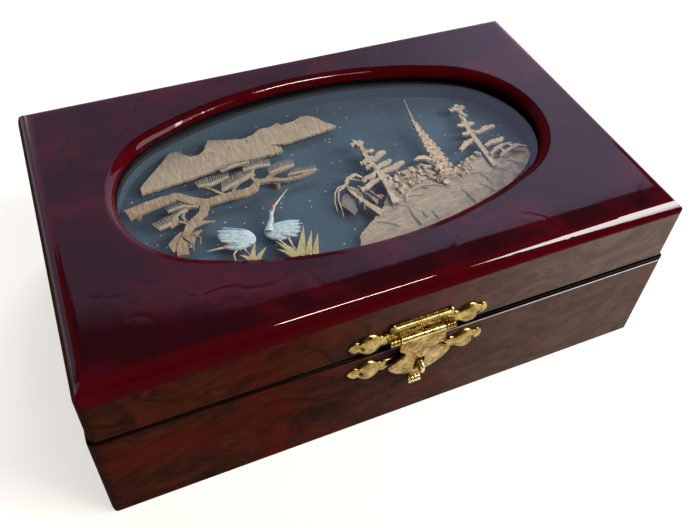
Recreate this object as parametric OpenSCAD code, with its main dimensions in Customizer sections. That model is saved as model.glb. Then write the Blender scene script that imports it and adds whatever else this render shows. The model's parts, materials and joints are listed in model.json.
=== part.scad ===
// Jewelry box: a lacquered wooden box with a hinged lid, a cork picture under an oval glass
// in the lid, and a stamped brass clasp at the front.
// Millimetres, +Z up, the front faces -Y, and the origin is the middle of the bottom.

/* [Box] */
// Width of the base, left to right
box_w = 200; // [188:2:260]
// Depth of the base, front to back
box_d = 124; // [116:2:170]
// Height of the base, felt included
base_h = 44; // [36:1:80]
// Height of the lid
lid_h = 25.7; // [24.5:0.1:40]
// Step from the base's faces in to the lid's faces
lid_step = 0.6; // [0:0.1:1]
// Thickness of the wooden walls
wall_t = 9; // [8.6:0.2:10.4]
// Gap between the closed rims
seam_gap = 0.3; // [0.2:0.05:0.5]
// Thickness of the lid's top board
lid_top_t = 8; // [7:0.5:9]
// Thickness of the floor panel
floor_t = 4; // [2.5:0.5:6]
// Thickness of the felt under the base
felt_t = 0.8; // [0.5:0.1:1.5]
// Distance from the base's faces in to the felt
felt_in = 4; // [2:0.5:10]

/* [Rounding] */
// Rounding of the upright corners
corner_r = 3; // [1:0.5:4]
// Rounding of the lid's upper edge
edge_r = 6; // [3:0.5:6.5]
// Rounding of the rims along the seam, outside
rim_r = 1.2; // [0.5:0.1:2]
// Rounding of the rims along the seam, inside
rim_in_r = 0.8; // [0.4:0.1:1.2]
// Rounding of the base's lower edge
foot_r = 1.8; // [0.5:0.1:3]

/* [Window] */
// Width of the oval opening
win_w = 152; // [130:1:160]
// Depth of the oval opening
win_d = 82.5; // [70:0.5:86]
// Radius of the oval's two ends
win_end_r = 32; // [26:1:34]
// Place of the oval, right of the middle
win_x = 0.8; // [-2:0.1:2]
// Place of the oval, behind the middle
win_y = 2.6; // [-3:0.1:3]
// Rounding of the lip around the opening
lip_r = 4; // [2:0.5:4]
// Depth of the glass below the top
glass_drop = 4.4; // [4.2:0.1:5]
// Thickness of the glass
glass_t = 1.8; // [1.2:0.1:2]
// Width of the ledge that the glass sits against
glass_seat = 4; // [3:0.5:5]

/* [Picture] */
// Depth of the picture's case, from the glass to the board
case_h = 6.8; // [6:0.2:8]
// Thickness of the board behind the picture
board_t = 1.5; // [1:0.1:2]
// Thickness of one cork sheet
cork_t = 1; // [0.6:0.1:1.2]
// Height of the first cork sheet above the board
cork_lift = 1.8; // [1:0.1:2]
// Radius of the small cork spacers
spacer_r = 1.3; // [0.8:0.1:1.5]

/* [Lining] */
// Thickness of the lining cards in the base
lining_t = 1.5; // [1:0.1:2.5]
// Distance from the rim down to the linings
lining_drop = 5; // [3:0.5:8]
// Thickness of the padded floor
pad_t = 4; // [2:0.5:8]
// Width of the ring bay
bay_w = 50; // [44:1:60]
// Thickness of the divider
divider_t = 3; // [2:0.5:4]
// Height of the divider above the floor panel
divider_h = 26; // [16:1:28]
// Thickness of the card under the ring rolls
bay_card_t = 2; // [1:0.5:3]
// Number of ring rolls
roll_n = 4; // [3:1:5]
// Gap between two ring rolls
roll_gap = 0.5; // [0.4:0.1:1]
// Thickness of the lid's lining card
lid_card_t = 2.5; // [2.4:0.1:4]
// Width of the mirror
mirror_w = 150; // [110:2:164]
// Depth of the mirror
mirror_d = 74; // [50:2:88]
// Thickness of the mirror
mirror_t = 2; // [1.5:0.1:2.4]
// Width of the braid around the mirror
braid_w = 3; // [2:0.5:5]
// Thickness of the braid
braid_t = 1.2; // [0.8:0.1:2]

/* [Hinges] */
// Distance of each hinge from the middle
hinge_x = 60; // [40:1:70]
// Length of a hinge
hinge_len = 25; // [20:1:30]
// Distance of the hinge axis in from the back
hinge_in = 3; // [2.8:0.1:3.2]
// Bevel of each rim behind the axis, in degrees
stop_bevel = 50; // [46:1:54]
// Reach of a leaf from the axis
leaf_reach = 5.4; // [5.2:0.1:5.4]
// Thickness of a leaf
leaf_t = 1; // [0.8:0.1:1.2]
// Radius of a knuckle
knuckle_r = 2.2; // [1.9:0.1:2.3]
// Radius of a hinge pin
hinge_pin_r = 0.9; // [0.7:0.1:1.1]
// Room around a knuckle in the wood
knuckle_room = 0.4; // [0.3:0.1:0.5]
// Distance of the two screws from a hinge's middle
screw_x = 7.5; // [6:0.5:9]
// Radius of a screw's head
screw_head_r = 1.2; // [1:0.1:1.3]
// Radius of a screw's shank
screw_r = 0.7; // [0.5:0.1:0.8]
// Length of a screw below its head
screw_len = 6; // [4:1:8]

/* [Clasp] */
// Place of the clasp, right of the middle
clasp_x = 2; // [-20:0.5:20]
// Height of the clasp pin above the base's rim
clasp_rise = 5.5; // [5:0.1:6.5]
// Distance of the clasp pin from the lid's face
clasp_off = 2.5; // [2.3:0.1:2.8]
// Thickness of the stamped plates
plate_t = 0.8; // [0.6:0.1:0.9]
// Distance of a plate's lobe from its middle
lobe_x = 17.4; // [16.8:0.1:18.4]
// Radius of a plate's lobe
lobe_r = 4.8; // [4:0.1:5.2]
// Distance of a plate's end knob from its middle
knob_x = 21.8; // [21:0.1:23]
// Radius of a plate's end knob
knob_r = 2.4; // [2:0.1:2.8]
// Height of a plate's neck
neck_h = 5.2; // [4:0.1:6]
// Height of the upper plate's arms above the pin
upper_rise = 1.8; // [1.4:0.1:2.2]
// Distance of the lower plate's middle below the rim
lower_drop = 7; // [6.5:0.1:8]
// Outer radius of the clasp's knuckles
eye_r = 1.35; // [1.2:0.05:1.4]
// Radius of the clasp pin
clasp_pin_r = 0.55; // [0.4:0.05:0.7]
// Length of the leaf's knuckle
leaf_eye_w = 15.6; // [14:0.1:16]
// Length of each knuckle of the upper plate
side_eye_w = 3.3; // [2.5:0.1:4]
// Thickness of the clasp's leaf
clasp_leaf_t = 0.8; // [0.6:0.1:1]
// Width of the slot in the leaf
slot_w = 3.6; // [3:0.1:4]
// Length of the slot in the leaf
slot_len = 7.2; // [7:0.1:7.6]
// Distance from the pin down to the slot's middle
slot_drop = 14.9; // [14.5:0.1:15.2]
// Width of the leaf's tab
tab_w = 4.4; // [3.6:0.1:5]
// Radius of the tab's rolled lip
lip_roll_r = 1.4; // [1:0.1:1.6]
// Radius of the staple's wire
wire_r = 0.7; // [0.5:0.05:0.8]
// Radius of the staple's bend
staple_r = 2; // [1.6:0.1:2.1]
// Reach of the staple in front of the base
staple_reach = 6.3; // [6:0.1:7]
// Distance of the nails from a plate's middle
nail_x = 19.6; // [19:0.1:20.4]
// Radius of a nail's head
nail_head_r = 1; // [0.8:0.1:1.2]
// Radius of a nail's shank
nail_r = 0.5; // [0.4:0.05:0.6]

/* [Hidden] */
$fn = 72;
eps = 0.5;             // what a cutter reaches past the face it cuts
run_fit = 0.05;        // room around a pin in its knuckles
end_gap = 0.2;         // room between the ends of two knuckles
slip_fit = 0.2;        // room around a pane or board that drops in
anchor_len = 6;        // how deep nails and staple legs go into the wood

// Heights, from the floor up
lid_z0 = base_h + seam_gap;
lid_z1 = lid_z0 + lid_h;
top_z0 = lid_z1 - lid_top_t;
glass_z1 = lid_z1 - glass_drop;
glass_z0 = glass_z1 - glass_t;
board_z1 = glass_z0 - case_h;
board_z0 = board_z1 - board_t;
card_z0 = board_z0 - lid_card_t;
floor_z1 = felt_t + floor_t;
lining_z1 = base_h - lining_drop;

// Plan sizes
lid_w = box_w - 2 * lid_step;
lid_d = box_d - 2 * lid_step;
lid_in_w = lid_w - 2 * wall_t;
lid_in_d = lid_d - 2 * wall_t;
base_in_w = box_w - 2 * wall_t;
base_in_d = box_d - 2 * wall_t;
room_w = base_in_w - 2 * lining_t;
room_d = base_in_d - 2 * lining_t;
divider_x = -room_w / 2 + bay_w;
roll_pitch = bay_w / roll_n;
roll_r = (roll_pitch - roll_gap) / 2;
roll_sink = 0.25 * roll_r;     // how much of a roll its flat underside cuts off

// The oval is four arcs: two ends of win_end_r, and two long sides that meet them smoothly
end_x = win_w / 2 - win_end_r;
side_r = (end_x * end_x + win_d * win_d / 4 - win_end_r * win_end_r) / (win_d - 2 * win_end_r);
side_y = side_r - win_d / 2;
join_a = atan2(side_y, end_x);
end_steps = 18;
side_steps = 14;
lip_steps = 6;

// Hinges and clasp
hinge_y = box_d / 2 - hinge_in;
hinge_z = base_h + seam_gap / 2;
clasp_z = base_h + clasp_rise;
upper_eye_x = leaf_eye_w / 2 + end_gap;
clasp_pin_len = leaf_eye_w + 2 * end_gap + 2 * side_eye_w;
leaf_back = clasp_off + eye_r - clasp_leaf_t;  // from the lid's face to the leaf's back
staple_z = clasp_z - slot_drop;

// The picture is drawn on a 152 x 82.5 oval and stretched with the real one
draw_w = 152;
draw_d = 82.5;

// ---- Shared shapes ----

// Takes a corner at the origin, between +X and +Y, down to a radius
module corner_cut(r) {
    difference() {
        translate([-eps, -eps])
            square(r + eps);
        translate([r, r])
            circle(r);
    }
}

// A rectangle with round corners, in plan
module round_plan(w, d, r) {
    square([w - 2 * r, d], center = true);
    square([w, d - 2 * r], center = true);
    for (x = [-1, 1], y = [-1, 1])
        translate([x * (w / 2 - r), y * (d / 2 - r)])
            circle(r);
}

// A block by its lowest corner and its highest
module block(low, high) {
    translate(low)
        cube(high - low);
}

// A plain sheet, centred in plan
module sheet(w, d, z0, z1) {
    translate([0, 0, z0])
        linear_extrude(z1 - z0)
            square([w, d], center = true);
}

// Carries a 2D profile (across, up) along X, centred
module along_x(len) {
    translate([-len / 2, 0, 0])
        rotate([90, 0, 90])
            linear_extrude(len)
                children();
}

// A cylinder along X, centred
module rod_x(r, len) {
    rotate([0, 90, 0])
        cylinder(r = r, h = len, center = true);
}

// One mitred side of a w x d ring of thickness t: 0 front, 1 right, 2 back, 3 left.
// The children are its profile, with the outer face at 0.
module ring_side(side, w, d, t, r) {
    len = side % 2 == 0 ? w : d;
    reach = side % 2 == 0 ? d : w;
    rotate([0, 0, 90 * side])
        intersection() {
            translate([0, -reach / 2, 0])
                along_x(len)
                    children();
            linear_extrude(lid_z1)
                intersection() {
                    polygon([[-len / 2, -reach / 2], [len / 2, -reach / 2],
                             [len / 2 - t, t - reach / 2], [t - len / 2, t - reach / 2]]);
                    round_plan(len, reach, r);
                }
        }
}

// ---- Wooden base ----

module base_profile() {
    difference() {
        translate([0, felt_t])
            square([wall_t, base_h - felt_t]);
        translate([0, felt_t])
            corner_cut(foot_r);
        translate([0, base_h])
            mirror([0, 1])
                corner_cut(rim_r);
        translate([wall_t, base_h])
            rotate(180)
                corner_cut(rim_in_r);
    }
}

// The V along the back where the rims are bevelled, which stops the open lid
module stop_groove() {
    reach = hinge_in + eps;
    translate([0, hinge_y, hinge_z])
        along_x(box_w + 2 * eps)
            polygon([[0, 0], [reach, reach * tan(stop_bevel)], [reach, -reach * tan(stop_bevel)]]);
}

// Puts something at each hinge
module at_hinges() {
    for (x = [-hinge_x, hinge_x])
        translate([x, hinge_y, hinge_z])
            children();
}

// Puts something at each screw, its head's face at the origin and its point down
module at_screws() {
    screw_y = -(leaf_reach + knuckle_r) / 2;
    at_hinges()
        for (x = [-screw_x, screw_x])
            translate([x, screw_y, -seam_gap / 2])
                children();
}

// Recesses for the knuckles and leaves in the base's rim, and the screws' holes
module hinge_recess() {
    at_hinges() {
        rod_x(knuckle_r + knuckle_room, hinge_len + 2 * end_gap);
        block([-hinge_len / 2 - end_gap, -leaf_reach, -seam_gap / 2 - leaf_t],
              [hinge_len / 2 + end_gap, 0, seam_gap]);
    }
    at_screws()
        translate([0, 0, -leaf_t - screw_len])
            cylinder(r = screw_r, h = screw_len + eps);
}

// Turns what is made for the base's rim over, onto the lid's
module onto_lid() {
    translate([0, 0, 2 * hinge_z])
        mirror([0, 0, 1])
            children();
}

module base_wall(side) {
    difference() {
        ring_side(side, box_w, box_d, wall_t, corner_r)
            base_profile();
        if (side > 0)
            stop_groove();
    }
}

module base_front() {
    color("#4a1a14")
        difference() {
            base_wall(0);
            on_base(-lower_drop) {
                nail_holes();
            }
            on_base(staple_z - base_h)
                staple_legs();
        }
}

module base_right() {
    color("#4a1a14")
        base_wall(1);
}

module base_back() {
    color("#4a1a14")
        difference() {
            base_wall(2);
            hinge_recess();
        }
}

module base_left() {
    color("#4a1a14")
        base_wall(3);
}

module base_floor() {
    color("#c9a67a")
        sheet(base_in_w, base_in_d, felt_t, floor_z1);
}

module base_felt() {
    color("#20201f")
        sheet(box_w - 2 * felt_in, box_d - 2 * felt_in, 0, felt_t);
}

// ---- Lining of the base ----

module base_lining(side) {
    color("#8e1c2b")
        ring_side(side, base_in_w, base_in_d, lining_t, 0.1)
            translate([0, floor_z1])
                square([lining_t, lining_z1 - floor_z1]);
}

module base_pad() {
    color("#a02233")
        block([divider_x + divider_t, -room_d / 2, floor_z1],
              [room_w / 2, room_d / 2, floor_z1 + pad_t]);
}

module divider() {
    color("#8e1c2b")
        block([divider_x, -room_d / 2, floor_z1],
              [divider_x + divider_t, room_d / 2, floor_z1 + divider_h]);
}

module ring_bay_card() {
    color("#8e1c2b")
        block([-room_w / 2, -room_d / 2, floor_z1],
              [divider_x, room_d / 2, floor_z1 + bay_card_t]);
}

module ring_rolls() {
    color("#a02233")
        for (i = [0 : roll_n - 1])
            translate([-room_w / 2 + (i + 0.5) * roll_pitch, 0,
                       floor_z1 + bay_card_t + roll_r - roll_sink])
                difference() {
                    rotate([90, 0, 0])
                        cylinder(r = roll_r, h = room_d - 2 * slip_fit, center = true);
                    block([-roll_r, -room_d / 2, -2 * roll_r],
                          [roll_r, room_d / 2, roll_sink - roll_r]);
                }
}

// ---- Wooden lid ----

module lid_profile() {
    difference() {
        translate([0, lid_z0])
            square([wall_t, top_z0 - lid_z0]);
        translate([0, lid_z0])
            corner_cut(rim_r);
        translate([wall_t, lid_z0])
            mirror([1, 0])
                corner_cut(rim_in_r);
    }
}

module lid_rail(side) {
    difference() {
        ring_side(side, lid_w, lid_d, wall_t, corner_r)
            lid_profile();
        if (side > 0)
            stop_groove();
    }
}

module lid_front() {
    color("#4a1a14")
        difference() {
            lid_rail(0);
            on_lid(upper_rise)
                nail_holes();
        }
}

module lid_right() {
    color("#4a1a14")
        lid_rail(1);
}

module lid_back() {
    color("#4a1a14")
        difference() {
            lid_rail(2);
            onto_lid()
                hinge_recess();
        }
}

module lid_left() {
    color("#4a1a14")
        lid_rail(3);
}

// Section of the top board, with both upper edges round
module top_profile(span) {
    difference() {
        translate([-span / 2, top_z0])
            square([span, lid_top_t]);
        translate([-span / 2, lid_z1])
            mirror([0, 1])
                corner_cut(edge_r);
        translate([span / 2, lid_z1])
            rotate(180)
                corner_cut(edge_r);
    }
}

// Points of an arc, its last one left to the next arc
function arc(middle, r, a0, a1, steps) =
    [for (i = [0 : steps - 1]) middle + r * [cos(a0 + (a1 - a0) * i / steps),
                                             sin(a0 + (a1 - a0) * i / steps)]];

// The outline of the window, grown outward: right end, back, left end, front
function oval_points(grow) =
    let (end_r = win_end_r + grow, long_r = side_r + grow)
    concat(arc([end_x, 0], end_r, -join_a, join_a, end_steps),
           arc([0, -side_y], long_r, join_a, 180 - join_a, side_steps),
           arc([-end_x, 0], end_r, 180 - join_a, 180 + join_a, end_steps),
           arc([0, side_y], long_r, 180 + join_a, 360 - join_a, side_steps));

module oval(grow) {
    polygon(oval_points(grow));
}

// An oval plate
module oval_plate(grow, z0, z1) {
    translate([win_x, win_y, z0])
        linear_extrude(z1 - z0)
            oval(grow);
}

// The opening in the top board: straight up to the lip, then flaring along its rounding
module window_opening() {
    flare = [for (i = [0 : lip_steps]) let (a = 90 * i / lip_steps)
             [lip_r * (1 - cos(a)), lid_z1 - lip_r * (1 - sin(a))]];
    rings = concat([[0, top_z0 - eps]], flare, [[lip_r, lid_z1 + eps]]);
    n = len(oval_points(0));
    top = (len(rings) - 1) * n;
    translate([win_x, win_y, 0])
        polyhedron(
            points = [for (ring = rings, p = oval_points(ring[0])) [p[0], p[1], ring[1]]],
            faces = concat([[for (i = [0 : n - 1]) i], [for (i = [n - 1 : -1 : 0]) top + i]],
                           [for (k = [1 : len(rings) - 1], i = [0 : n - 1])
                            let (j = (i + 1) % n, low = (k - 1) * n, high = k * n)
                            [low + j, low + i, high + i, high + j]]));
}

module lid_top() {
    color("#5a1016")
        difference() {
            intersection() {
                along_x(lid_w)
                    top_profile(lid_d);
                rotate(90)
                    along_x(lid_d)
                        top_profile(lid_w);
                translate([0, 0, top_z0])
                    linear_extrude(lid_top_t)
                        round_plan(lid_w, lid_d, corner_r);
            }
            window_opening();
            oval_plate(glass_seat, top_z0 - eps, glass_z1);
        }
}

module window_glass() {
    color("#d8e8ea", 0.35)
        oval_plate(glass_seat - slip_fit, glass_z0, glass_z1);
}

// ---- Picture under the glass ----

module picture_surround() {
    color("#101012")
        difference() {
            union() {
                sheet(lid_in_w, lid_in_d, board_z1, top_z0);
                oval_plate(glass_seat - slip_fit, board_z1, glass_z0);
            }
            oval_plate(slip_fit, board_z1 - eps, glass_z0 + eps);
        }
}

module picture_board() {
    color("#26323a")
        sheet(lid_in_w, lid_in_d, board_z0, board_z1);
}

// Height of the underside of a cork layer: 1 is the hills, 2 and 3 lie over them
function layer_z(layer) = board_z1 + cork_lift + (layer - 1) * cork_t;

// Points of the picture's drawing, stretched to the real oval
function drawn(points) = [for (p = points) [p[0] * win_w / draw_w, p[1] * win_d / draw_d]];

// A cut-out of one layer. Its spacers stand on the board, and its rests on the hills below.
module cut_out(layer, spacers = [], rests = []) {
    translate([win_x, win_y, 0]) {
        translate([0, 0, layer_z(layer)])
            linear_extrude(cork_t)
                children();
        for (p = drawn(spacers))
            translate([p[0], p[1], board_z1])
                cylinder(r = spacer_r, h = layer_z(layer) - board_z1);
        for (p = drawn(rests))
            translate([p[0], p[1], layer_z(2)])
                cylinder(r = spacer_r, h = layer_z(layer) - layer_z(2));
    }
}

// A straight strip that narrows from one width to another
module strip(from, to, w0, w1) {
    ends = drawn([from, to]);
    run = ends[1] - ends[0];
    n = [-run[1], run[0]] / norm(run) / 2;
    polygon([ends[0] + w0 * n, ends[1] + w1 * n, ends[1] - w1 * n, ends[0] - w0 * n]);
}

// A chain of strips with round joints a little proud of them, each point being [x, y, width]
module limb(points) {
    knuckle = 1.12;
    for (i = [0 : len(points) - 2]) {
        a = points[i];
        b = points[i + 1];
        strip([a[0], a[1]], [b[0], b[1]], a[2], b[2]);
        if (i > 0)
            translate(drawn([[a[0], a[1]]])[0])
                circle(knuckle * a[2] / 2);
    }
}

// A lens-shaped pad between two points, as wide as width in its middle
module pad(from, to, width) {
    ends = drawn([from, to]);
    run = ends[1] - ends[0];
    half = norm(run) / 2;
    arc_r = (half * half + width * width / 4) / width;
    translate((ends[0] + ends[1]) / 2)
        rotate(atan2(run[1], run[0]))
            intersection() {
                translate([0, arc_r - width / 2])
                    circle(arc_r);
                translate([0, width / 2 - arc_r])
                    circle(arc_r);
            }
}

module cork_mountain() {
    color("#c9a27a")
        cut_out(1, spacers = [[-58, 19], [-36, 24], [-14, 27]])
            polygon(drawn([[-66.5, 12.5], [-66.5, 15.5], [-62, 20.5], [-56.5, 26], [-53.5, 29.5],
                           [-50.5, 29.5], [-46.5, 25.5], [-43.5, 25.5], [-41, 27.5], [-38.5, 32],
                           [-32, 30], [-26.5, 28.5], [-22, 29.5], [-18.5, 32], [-14.5, 31.5],
                           [-11.5, 33], [-10, 31.5], [-5, 32], [-2, 33.5], [0.5, 33.5], [4, 31],
                           [5, 28.5], [9, 24], [5.5, 23], [-3.5, 22], [-12.5, 21], [-18, 22],
                           [-14.5, 19.5], [-14.5, 17], [-28.5, 17], [-39.5, 15.5]]));
}

module cork_pine() {
    trunk = [[-73, 4, 5.2], [-56, 6.8, 4.6], [-49, 1, 3.6], [-40, 1, 3.8], [-31, 1.5, 3.4],
             [-27, 4.2, 2.4], [-20, 2, 1.8], [-9, 3.8, 1.6]];
    lower_trunk = [[-49, 0, 3.4], [-54.5, -5, 3.2], [-59.5, -12, 3], [-60, -19, 4.4]];
    boughs = [[[-47, 1, 1.6], [-52, 2, 1.3], [-60, -2, 1.2], [-62, -5, 1]],
              [[-55, -6, 1.6], [-58, -5.5, 1.2], [-62, -6, 1]],
              [[-41, 2, 1.8], [-45, 7, 1.3]],
              [[-36, 2, 1.8], [-32, 9, 1.4], [-26, 12, 1.2]],
              [[-27, 4, 1.8], [-20, 8, 1.4]]];
    pads = [[[-49, 7], [-35.5, 11.5], 3.6], [[-44, 10], [-22, 14.5], 4.4],
            [[-40, 4.5], [-24, 13], 3.6], [[-27, 6], [-12.5, 9.5], 4],
            [[-20, 2.5], [-6, 4.5], 2.6], [[-66.5, -2], [-57, -7.5], 3.4],
            [[-62, 1], [-52, 2.5], 2.2]];
    color("#c9a27a")
        cut_out(2, spacers = [[-70, 4.6], [-48, 0.8], [-22, 2.8], [-60, -16]]) {
            limb(trunk);
            limb(lower_trunk);
            for (bough = boughs)
                limb(bough);
            for (p = pads)
                pad(p[0], p[1], p[2]);
            pad([-57, -11], [-47.5, -8.8], 2.4);
            pad([-67, -16], [-57, -18], 3.2);
            pad([-59, -17], [-52.5, -14], 3.4);
        }
}

module crane_feeding() {
    color("#f2f2ee")
        cut_out(2, spacers = [[-43, -18]]) {
            pad([-50, -15], [-36.5, -20.5], 9);
            limb([[-39, -22, 2.4], [-44.5, -22.2, 2], [-47.5, -20.8, 1.8], [-52.5, -20.5, 0.5]]);
            limb([[-43.5, -21, 1.2], [-46.3, -24, 0.8], [-45.9, -28, 0.8]]);
        }
}

module crane_standing() {
    color("#f2f2ee")
        cut_out(2, spacers = [[-30, -20.5]]) {
            pad([-35, -20], [-21.5, -22.5], 6.4);
            limb([[-33, -19.5, 3.4], [-30.5, -15.5, 2], [-29.5, -11, 1.6], [-27.2, -8.7, 1.8],
                  [-20.5, -3.2, 0.5]]);
            limb([[-31.5, -22, 1.2], [-28.5, -26.5, 0.8], [-24.5, -31, 0.8]]);
            limb([[-27.5, -22.5, 1.2], [-27.5, -27, 0.8], [-28, -31.5, 0.8]]);
        }
}

module cork_grass() {
    blades = [[[-26, -32], [-21.2, -21.5]], [[-24, -32.3], [-19.4, -24.5]],
              [[-22, -32.6], [-18, -25.5]], [[-28, -31.5], [-32, -27]],
              [[-40.5, -28.5], [-38.2, -22.5]], [[-40, -29.5], [-35.5, -26]]];
    color("#d9bb8a")
        cut_out(3, spacers = [[-21.8, -32.4], [-40.5, -29]]) {
            for (b = blades)
                strip(b[0], b[1], 2.4, 0.3);
            pad([-31, -31.5], [-19, -33.5], 3);
            pad([-43, -28.5], [-37, -30.5], 2.6);
        }
}

module cork_island() {
    color("#c4a080")
        cut_out(1, spacers = [[2, -31], [20, -22], [40, -25], [62, -15]])
            polygon(drawn([[-5, -30.5], [-6.5, -35], [1, -35.5], [11.5, -35.5], [22.5, -34.5],
                           [34.5, -33], [45, -30], [55, -26.5], [64.5, -21], [70, -16],
                           [71, -12], [67, -8.5], [55.5, -9], [50.5, -8.5], [43, -11.5],
                           [37, -16], [30.5, -8.5], [25.5, -7], [17.5, -9], [14.5, -11],
                           [11, -16], [6.5, -23.5], [0.5, -25]]));
}

// A trunk with flat boughs across it, each bough being [left end, right end, width]
module conifer(trunk, boughs) {
    limb(trunk);
    for (b = boughs)
        pad(b[0], b[1], b[2]);
}

module cork_conifer_left() {
    color("#d8bd94")
        cut_out(3, rests = [[13, -20], [14.5, -12.5]])
            conifer([[12.6, -23, 3], [14.5, -12, 2.2], [13.5, 0, 1.8], [12.5, 12, 1.4]],
                    [[[8.5, 12], [16, 14], 3], [[9.5, 8], [17.5, 7], 2.4],
                     [[7.5, 1], [20.5, 4.5], 2.6], [[9, -2.4], [19.5, -1.4], 2.2],
                     [[5.5, -7.6], [24, -4.4], 2.6], [[3.2, -11.4], [16, -8.8], 2.2]]);
}

module cork_conifer_right() {
    color("#d8bd94")
        cut_out(2, spacers = [[55, 3]])
            conifer([[57.5, -22, 3.2], [55.6, -8, 2.4], [55, 4, 2], [57, 17, 1.6]],
                    [[[52.5, 17.4], [61, 16], 4], [[53.5, 12.5], [60, 12], 2.8],
                     [[51, 8.4], [60.5, 7], 2.6], [[50, 1.4], [66.5, 4], 2.4],
                     [[45.5, -4.8], [57.5, -2], 2.4], [[55, -7], [65.5, -4.5], 2.4]]);
}

// A tall pagoda: eaves that widen downward on a tapering body, with a spire on top
module cork_pagoda() {
    foot = [34.5, -17];
    top = [37, 15];
    tiers = 8;
    color("#d2b08a")
        cut_out(3, rests = [[33.5, -18.5], [35, -15.5]]) {
            strip(foot, top, 7, 2);
            strip(top, [39.8, 28.7], 1.2, 0.4);
            for (i = [0 : tiers - 1]) {
                f = i / tiers;
                mid = foot + (top - foot) * f;
                half = 5 - 3.4 * f;
                pad(mid + [-half, 0.5], mid + [half, 0.5], 2.2);
            }
        }
}

module cork_willow() {
    twigs = [[[-0.5, -8, 1.4], [-5, -10, 1.1], [-7.5, -14, 0.9], [-8.5, -19, 0.6]],
             [[0, -7.5, 1.4], [-4, -9, 1.1], [-5.5, -15, 0.8], [-6, -21, 0.6]],
             [[-0.5, -7, 1.6], [1, -3.5, 1.5], [4.5, -1.5, 1.3], [7, -4.8, 0.9]],
             [[1, -9, 1.6], [5, -11.5, 1.1], [8, -15.5, 1], [10.5, -16, 0.7]]];
    color("#c4a27c")
        cut_out(2, spacers = [[0.2, -9.6], [3.2, -20]]) {
            limb([[5, -25, 3], [3, -19, 2.4], [0, -8.5, 2]]);
            for (twig = twigs)
                limb(twig);
        }
}

module cork_pavilion() {
    color("#d2b08a")
        cut_out(3, rests = [[66, -14.5], [61.5, -12.5]]) {
            strip([61, -16], [68, -13.5], 3, 3);
            pad([57, -12], [70.2, -10.2], 3);
            pad([60, -9.8], [68.5, -9.2], 2);
            strip([62, -12], [61.5, -17], 1.2, 1.2);
        }
}

// ---- Lining of the lid ----

module lid_lining() {
    color("#8e1c2b")
        difference() {
            sheet(lid_in_w, lid_in_d, card_z0, board_z0);
            sheet(mirror_w, mirror_d, card_z0 - eps, board_z0 + eps);
        }
}

module lid_mirror() {
    color("#dfe6ea")
        sheet(mirror_w, mirror_d, board_z0 - mirror_t, board_z0);
}

module mirror_braid() {
    color("#c9a24a")
        difference() {
            sheet(mirror_w + braid_w, mirror_d + braid_w, card_z0 - braid_t, card_z0);
            sheet(mirror_w - braid_w, mirror_d - braid_w, card_z0 - braid_t - eps, card_z0 + eps);
        }
}

// ---- Hinges ----

// A hinge's barrel is three equal stretches, by their middles: two of the base, one of the lid
third = hinge_len / 3;
base_knuckles = [-third, third];
lid_knuckles = [0];

// The leaves that lie on the base's rim, with the given knuckles and room for the others
module hinge_leaves(own, others) {
    difference() {
        at_hinges()
            difference() {
                union() {
                    block([-hinge_len / 2, -leaf_reach, -seam_gap / 2 - leaf_t],
                          [hinge_len / 2, -knuckle_r / 2, -seam_gap / 2]);
                    for (x = own)
                        translate([x, 0, 0])
                            rod_x(knuckle_r, third);
                }
                for (x = others)
                    translate([x, 0, 0])
                        rod_x(knuckle_r + knuckle_room, third + end_gap);
                rod_x(hinge_pin_r + run_fit, hinge_len + 2 * eps);
            }
        at_screws()
            screw(0);
    }
}

// A countersunk screw, sunk by its head's height, with its point down
module screw(shank) {
    translate([0, 0, -leaf_t])
        cylinder(r1 = screw_r, r2 = screw_head_r, h = leaf_t);
    translate([0, 0, -leaf_t - shank])
        cylinder(r = screw_r, h = leaf_t + shank);
}

module hinge_base_leaves() {
    color("#b89a4e")
        hinge_leaves(base_knuckles, lid_knuckles);
}

module hinge_lid_leaves() {
    color("#b89a4e")
        onto_lid()
            hinge_leaves(lid_knuckles, base_knuckles);
}

module hinge_pins() {
    color("#9c8140")
        at_hinges()
            rod_x(hinge_pin_r, hinge_len);
}

module hinge_base_screws() {
    color("#c9ad62")
        at_screws()
            screw(screw_len);
}

module hinge_lid_screws() {
    color("#c9ad62")
        onto_lid()
            at_screws()
                screw(screw_len);
}

// ---- Clasp ----

// Local frames of the clasp: X is right, Y is up, Z points out of the box's face
module on_base(rise) {
    translate([clasp_x, -box_d / 2, base_h + rise])
        rotate([90, 0, 0])
            children();
}

// The lid's frame has its origin at the height of the pin
module on_lid(rise = 0) {
    translate([clasp_x, -lid_d / 2, clasp_z + rise])
        rotate([90, 0, 0])
            children();
}

// Outline of a stamped plate's two arms
module arms() {
    shoulder_r = 1.8;
    square([2 * lobe_x, neck_h], center = true);
    for (x = [-1, 1]) {
        translate([x * lobe_x, 0])
            circle(lobe_r);
        translate([x * knob_x, 0])
            circle(knob_r);
        for (y = [-1, 1])
            translate([x * (lobe_x - lobe_r), y * neck_h / 2])
                circle(shoulder_r);
    }
}

module nail_holes() {
    for (x = [-nail_x, nail_x])
        translate([x, 0, -anchor_len])
            cylinder(r = nail_r, h = anchor_len + plate_t + eps);
}

module nails() {
    for (x = [-nail_x, nail_x])
        translate([x, 0, 0]) {
            translate([0, 0, -anchor_len])
                cylinder(r = nail_r, h = anchor_len + plate_t);
            translate([0, 0, plate_t])
                cylinder(r1 = nail_head_r, r2 = 0.6 * nail_head_r, h = 0.5 * nail_head_r);
        }
}

module staple_legs() {
    for (y = [-staple_r, staple_r])
        translate([0, y, -anchor_len])
            cylinder(r = wire_r, h = anchor_len + staple_reach - staple_r - wire_r);
}

module clasp_staple() {
    color("#c8a545")
        on_base(staple_z - base_h) {
            staple_legs();
            translate([0, 0, staple_reach - staple_r - wire_r])
                rotate([90, 0, 90])
                    rotate_extrude(angle = 180)
                        translate([staple_r, 0])
                            circle(wire_r);
        }
}

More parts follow.
